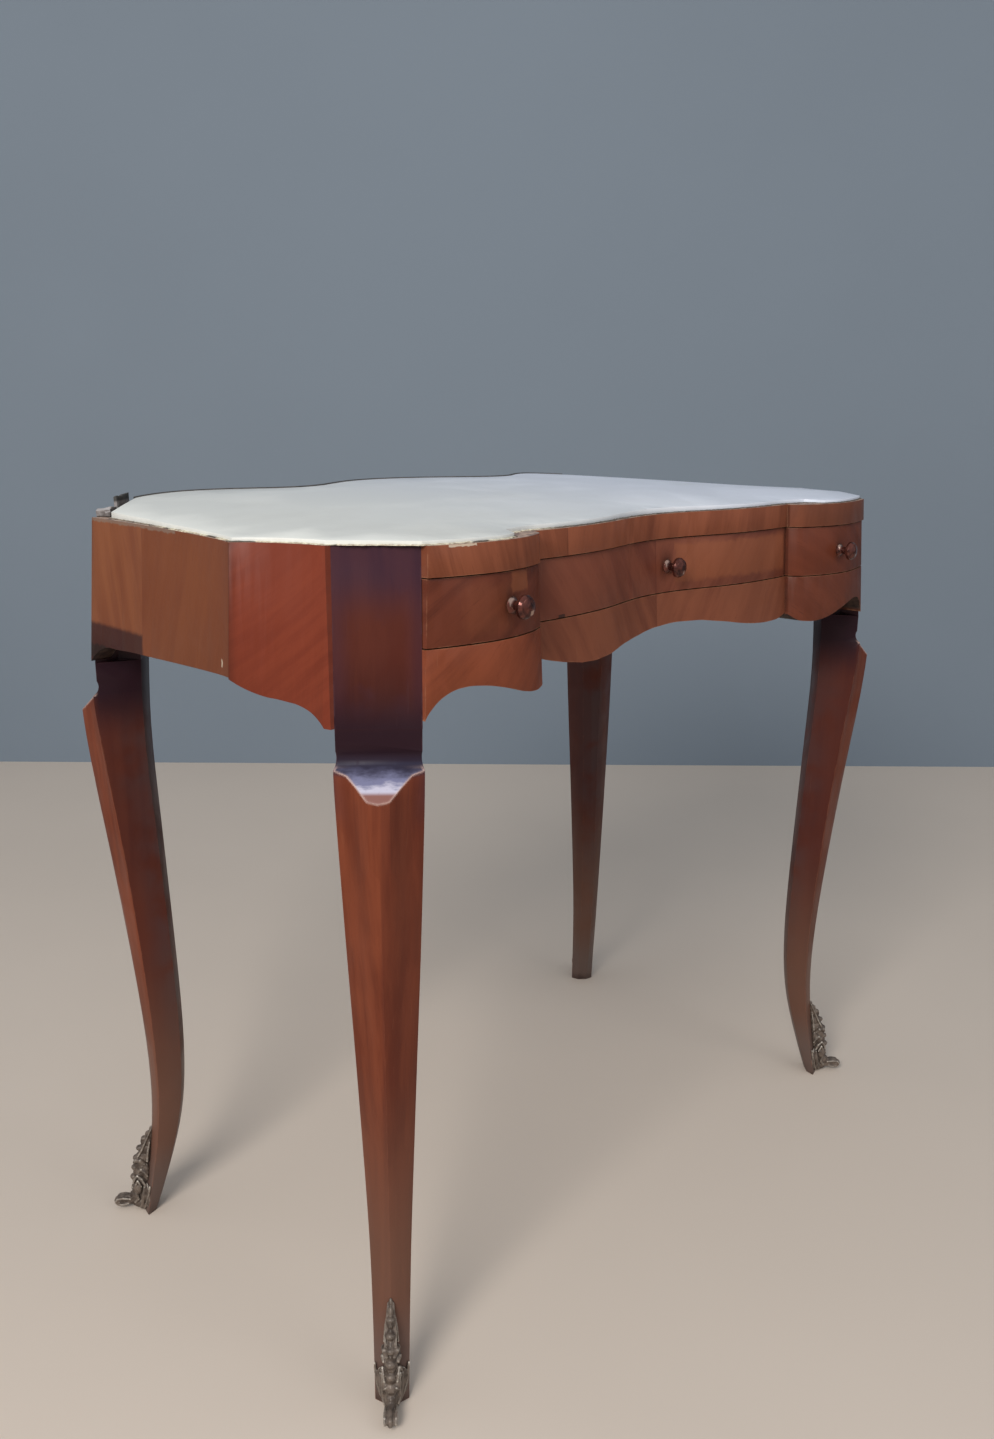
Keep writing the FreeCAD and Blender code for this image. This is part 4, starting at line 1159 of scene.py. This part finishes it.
# %% Cast mounts on the four feet
def cast_mount():
    mesh = bmesh.new()
    for out, height, half_out, half_side, half_up in fin_lumps:
        wax_ball(mesh, (out * mm, 0.0, height * mm), (half_out * mm, half_side * mm, half_up * mm))
    for out, height, radius in leaf_tips:
        half_sizes = (radius * leaf_stretch * mm, (radius + leaf_breadth) * mm, radius * mm)
        wax_ball(mesh, (out * mm, 0.0, height * mm), half_sizes)
    wax_roll(mesh, [[value * mm for value in stop] for stop in toe_roll])
    out, height, half_out, half_side, half_up = toe_core
    wax_ball(mesh, (out * mm, 0.0, height * mm), (half_out * mm, half_side * mm, half_up * mm))
    for side in (-1.0, 1.0):
        for stops in flank_rolls:
            wax_roll(mesh, [
                (out * mm, side * across * mm, height * mm, radius * mm)
                for out, across, height, radius in stops
            ])
        for out, across, height, half_out, half_side, half_up, turn in flank_lumps:
            centre = (out * mm, side * across * mm, height * mm)
            wax_ball(mesh, centre, (half_out * mm, half_side * mm, half_up * mm), side * turn)
    return melt(mesh, "cast_mount", 2)


mount_mesh = cast_mount()
mount_mesh.materials.append(mount_bronze)
feet = [
    ("front_left", -1.0, -1.0), ("front_right", 1.0, -1.0),
    ("back_left", -1.0, 1.0), ("back_right", 1.0, 1.0),
]
for word, side_x, side_y in feet:
    mount = bpy.data.objects.new("sabot_" + word, mount_mesh)
    foot = Matrix.Translation((side_x * corner_x, side_y * corner_y + middle_y, 0.0))
    mount.matrix_world = foot @ Matrix.Rotation(math.atan2(side_y, side_x), 4, "Z")
    scene.collection.objects.link(mount)
    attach(mount, "case")
    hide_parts("foot_mount_" + word)
print("mount faces", len(mount_mesh.polygons))

# %% [markdown]
# At each back corner the case carries what is left of a small dark block that once filled the cut
# corner of the top. It has broken off low and ragged, and on the left a dark sliver still stands
# where the strip behind the top ended. Each is built from short slivers of wood that overlap, with
# their upper corners knocked about a little, and the same remesh that served the wax joins them.

# %% Broken corner blocks
# Slivers: outward, sideways, half width, half length, height over the case and turn, in mm
left_slivers = [
    (-9.0, 27.0, 6.0, 6.0, 6.2, 0.25), (-12.0, 19.0, 4.4, 5.6, 7.6, -0.2),
    (-5.6, 19.0, 3.4, 6.4, 4.6, 0.1), (-9.6, 10.0, 5.2, 6.4, 4.4, 0.3),
    (-5.0, 2.0, 3.2, 7.4, 3.0, -0.1), (-11.0, -1.0, 4.2, 6.0, 3.6, 0.2),
    (-6.4, -11.0, 3.6, 6.4, 4.4, 0.05), (-12.0, -13.0, 3.4, 5.6, 2.8, 0.2),
    (-8.4, -22.0, 4.0, 6.4, 3.6, -0.1), (-14.6, 32.0, 2.4, 3.4, 4.4, 0.0),
    (-8.8, -27.0, 1.5, 9.6, 14.6, -0.05), (-9.4, -45.0, 1.2, 13.0, 15.4, -0.03),
]
# On the right nothing tall is left
tallest_right, right_share = 5.0, 0.8
right_slivers = [
    (*row[:4], min(row[4], tallest_right) * right_share, row[5]) for row in left_slivers
]
knock_from, knock_reach, knock_seed, lift = 0.6, 1.1, 11, 0.1


def broken_block(name, slivers, hand, seed):
    knocks = random.Random(seed)
    mesh = bmesh.new()
    for out, across, half_out, half_along, tall, turn in slivers:
        spot = Matrix.Translation((out * mm, hand * across * mm, (tall / 2.0 + lift) * mm))
        size = Matrix.Diagonal((half_out * mm, half_along * mm, tall / 2.0 * mm, 1.0))
        matrix = spot @ Matrix.Rotation(hand * turn, 4, "Z") @ size
        made = bmesh.ops.create_cube(mesh, size=2.0, matrix=matrix)
        for vertex in made["verts"]:
            if vertex.co.z > tall * knock_from * mm:
                knock = [knocks.uniform(-knock_reach, knock_reach) * mm for _ in range(3)]
                vertex.co += Vector(knock)
    return melt(mesh, name, 1)


case_top_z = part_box("leg_back_left")[1][2]
blocks = [("left", -1.0, left_slivers, 1.0), ("right", 1.0, right_slivers, -1.0)]
for word, side_x, slivers, hand in blocks:
    data = broken_block("broken_block_" + word, slivers, hand, knock_seed)
    data.materials.append(dark_wood)
    corner = Matrix.Translation((side_x * corner_x, corner_y + middle_y, case_top_z))
    data.transform(corner @ Matrix.Rotation(math.atan2(1.0, side_x), 4, "Z"))
    block = bpy.data.objects.new("broken_block_" + word, data)
    scene.collection.objects.link(block)
    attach(block, "case")
    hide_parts("corner_rest_" + word)
    print(block.name, "faces", len(data.polygons))

# %% [markdown]
# The sheet is bedded in old glue, which has squeezed out along its edge and broken off again. It is
# cream where it is thick and dark where it is gone. Noise chooses between the two, and two marks say
# where on the table that changes: a single tone all round would look like a painted line.

# %% Old glue
glue_cream, glue_brown, glue_gone = tint(222, 214, 190), tint(170, 152, 130), tint(64, 50, 42)
glue_crack, glue_dirt = tint(74, 58, 50), tint(112, 96, 84)
glue_material, tree, shader = start_material("old_glue")
place = put(tree, "TexCoord").outputs["Object"]
grit = speckle(tree, place, 260.0, 5.0, 0.7)
wide = speckle(tree, place, 58.0, 4.0)
tone = blend(tree, ramp(tree, grit, 0.36, 0.6), glue_brown, glue_cream)
tone = blend(tree, times(tree, ramp(tree, wide, 0.51, 0.59), 0.9), tone, glue_gone)
# From the first step of the front onward only a dark line with a few cream bits is left
far_middle, far_half = (0.16, -0.2, 0.73), (0.34, 0.1, 0.05)
far_front = add_mark(tree, place, black, white, far_middle, far_half, 0.002, 0.04)
bits = times(tree, ramp(tree, wide, 0.60, 0.52), times(tree, far_front, 0.9))
tone = blend(tree, bits, tone, glue_crack)
# Towards the left back corner the line is grey brown with old dirt
back_middle, back_half = (-0.38, 0.12, 0.73), (0.04, 0.075, 0.02)
tone = add_mark(tree, place, tone, glue_dirt, back_middle, back_half, 0.004, 0.03, 0.75)
rough = maths(tree, "ADD", times(tree, grit, 0.2), 0.65)
wire(tree, shader, {"Base Color": tone, "Roughness": rough, "Normal": relief(tree, grit, 0.7, 0.0006)})
print("material", glue_material.name)

# %% [markdown]
# The glue line has to follow the sheet exactly. So it starts from the sheet's own lower outline,
# which is walked round from one point to the next and then divided into even steps.

# %% Outline of the sheet
flat_reach, rim_step = 0.00005, 0.0018


def lower_outline(name):
    """The rim of a node's lowest face as a closed list of points."""
    mesh = bmesh.new()
    mesh.from_mesh(nodes[name].data)
    bmesh.ops.remove_doubles(mesh, verts=mesh.verts, dist=weld_reach)
    floor = min(vertex.co.z for vertex in mesh.verts) + flat_reach
    rim = [
        edge for edge in mesh.edges
        if all(vertex.co.z < floor for vertex in edge.verts)
        and sum(all(vertex.co.z < floor for vertex in face.verts) for face in edge.link_faces) == 1
    ]
    following = {}
    for edge in rim:
        for vertex in edge.verts:
            following.setdefault(vertex, []).append(edge)
    vertex, edge = rim[0].verts[0], rim[0]
    points = []
    while True:
        points.append(vertex.co.copy())
        vertex = edge.other_vert(vertex)
        edge = next(other for other in following[vertex] if other is not edge)
        if vertex is rim[0].verts[0]:
            break
    mesh.free()
    return points


def even_steps(points, spacing):
    """Points at even steps along a closed line."""
    ring = points + points[:1]
    placed, left = [], 0.0
    for start, end in zip(ring, ring[1:]):
        length = (end - start).length
        while left < length:
            placed.append(start.lerp(end, left / length))
            left += spacing
        left -= length
    return placed


rim = even_steps(lower_outline("top_panel"), rim_step)
middle = sum(rim, Vector()) / len(rim)
turning = sum((a - middle).cross(b - middle).z for a, b in zip(rim, rim[1:] + rim[:1]))
if turning < 0.0:
    rim.reverse()
print("points round the sheet", len(rim))

# %% [markdown]
# At each of these points stands a small section of glue: a foot under the sheet, a crown and an outer
# foot. Smooth noise pushes the outer side in and out, so the line is wide in one place and nearly
# gone in the next. A bevelled curve would be shorter to write, but the same all round.

# %% Ragged glue line round the sheet
glue_inner, glue_least, glue_most, glue_thick = 0.0012, 0.0003, 0.0044, 0.0011
section_points, crown_place, least_crest, foot_height = 5, 0.45, 0.0003, 0.0004
swell, bite, ripple = 95.0, 420.0, 260.0
mesh = bmesh.new()
rows = []
for place_along, point in enumerate(rim):
    before, after = rim[place_along - 2], rim[(place_along + 2) % len(rim)]
    along_rim = (after - before).normalized()
    outward = Vector((along_rim.y, -along_rim.x, 0.0))
    rough_side = 0.5 + 0.5 * noise.noise(point * swell) + 0.35 * noise.noise(point * bite)
    width = glue_least + (glue_most - glue_least) * max(0.0, min(1.0, rough_side))
    crest = glue_thick * (0.6 + 0.6 * noise.noise(point * ripple))
    inner, outer = point - outward * glue_inner, point + outward * width
    crown = point + outward * width * crown_place + Vector((0.0, 0.0, max(least_crest, crest)))
    rise = Vector((0.0, 0.0, foot_height))
    section = (inner, inner + rise * 2.0, crown, outer + rise, outer)
    rows.append([mesh.verts.new(spot) for spot in section])
for first, second in zip(rows, rows[1:] + rows[:1]):
    for corner in range(section_points):
        following = (corner + 1) % section_points
        mesh.faces.new((first[corner], first[following], second[following], second[corner]))
bmesh.ops.recalc_face_normals(mesh, faces=mesh.faces)
glue_data = bpy.data.meshes.new("glue_line")
mesh.to_mesh(glue_data)
mesh.free()
glue_data.materials.append(glue_material)
glue_line = bpy.data.objects.new("glue_line", glue_data)
scene.collection.objects.link(glue_line)
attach(glue_line, "case")
print("glue faces", len(glue_data.polygons))

# %% [markdown]
# A sharp edge never looks sharp in real wood, and a curved wall that is made of flat facets must not
# look faceted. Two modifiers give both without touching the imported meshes: corners are first welded,
# then edges are rounded by a fraction of a millimetre. The normals of the large faces are kept, so
# these stay flat while the small rounded strips shine.

# %% Soften the carried pieces
def soften(piece, width):
    weld = piece.modifiers.new("weld", "WELD")
    weld.merge_threshold = weld_reach
    bevel = piece.modifiers.new("round_edges", "BEVEL")
    bevel.width = width
    bevel.segments = 2
    bevel.limit_method = "ANGLE"
    bevel.angle_limit = facet_angle
    bevel.harden_normals = True
    bevel.use_clamp_overlap = True


edge_round = 0.0005
carried = (*nodes.values(), front_apron)
for piece in carried:
    soften(piece, edge_round)
print("softened", len(carried))
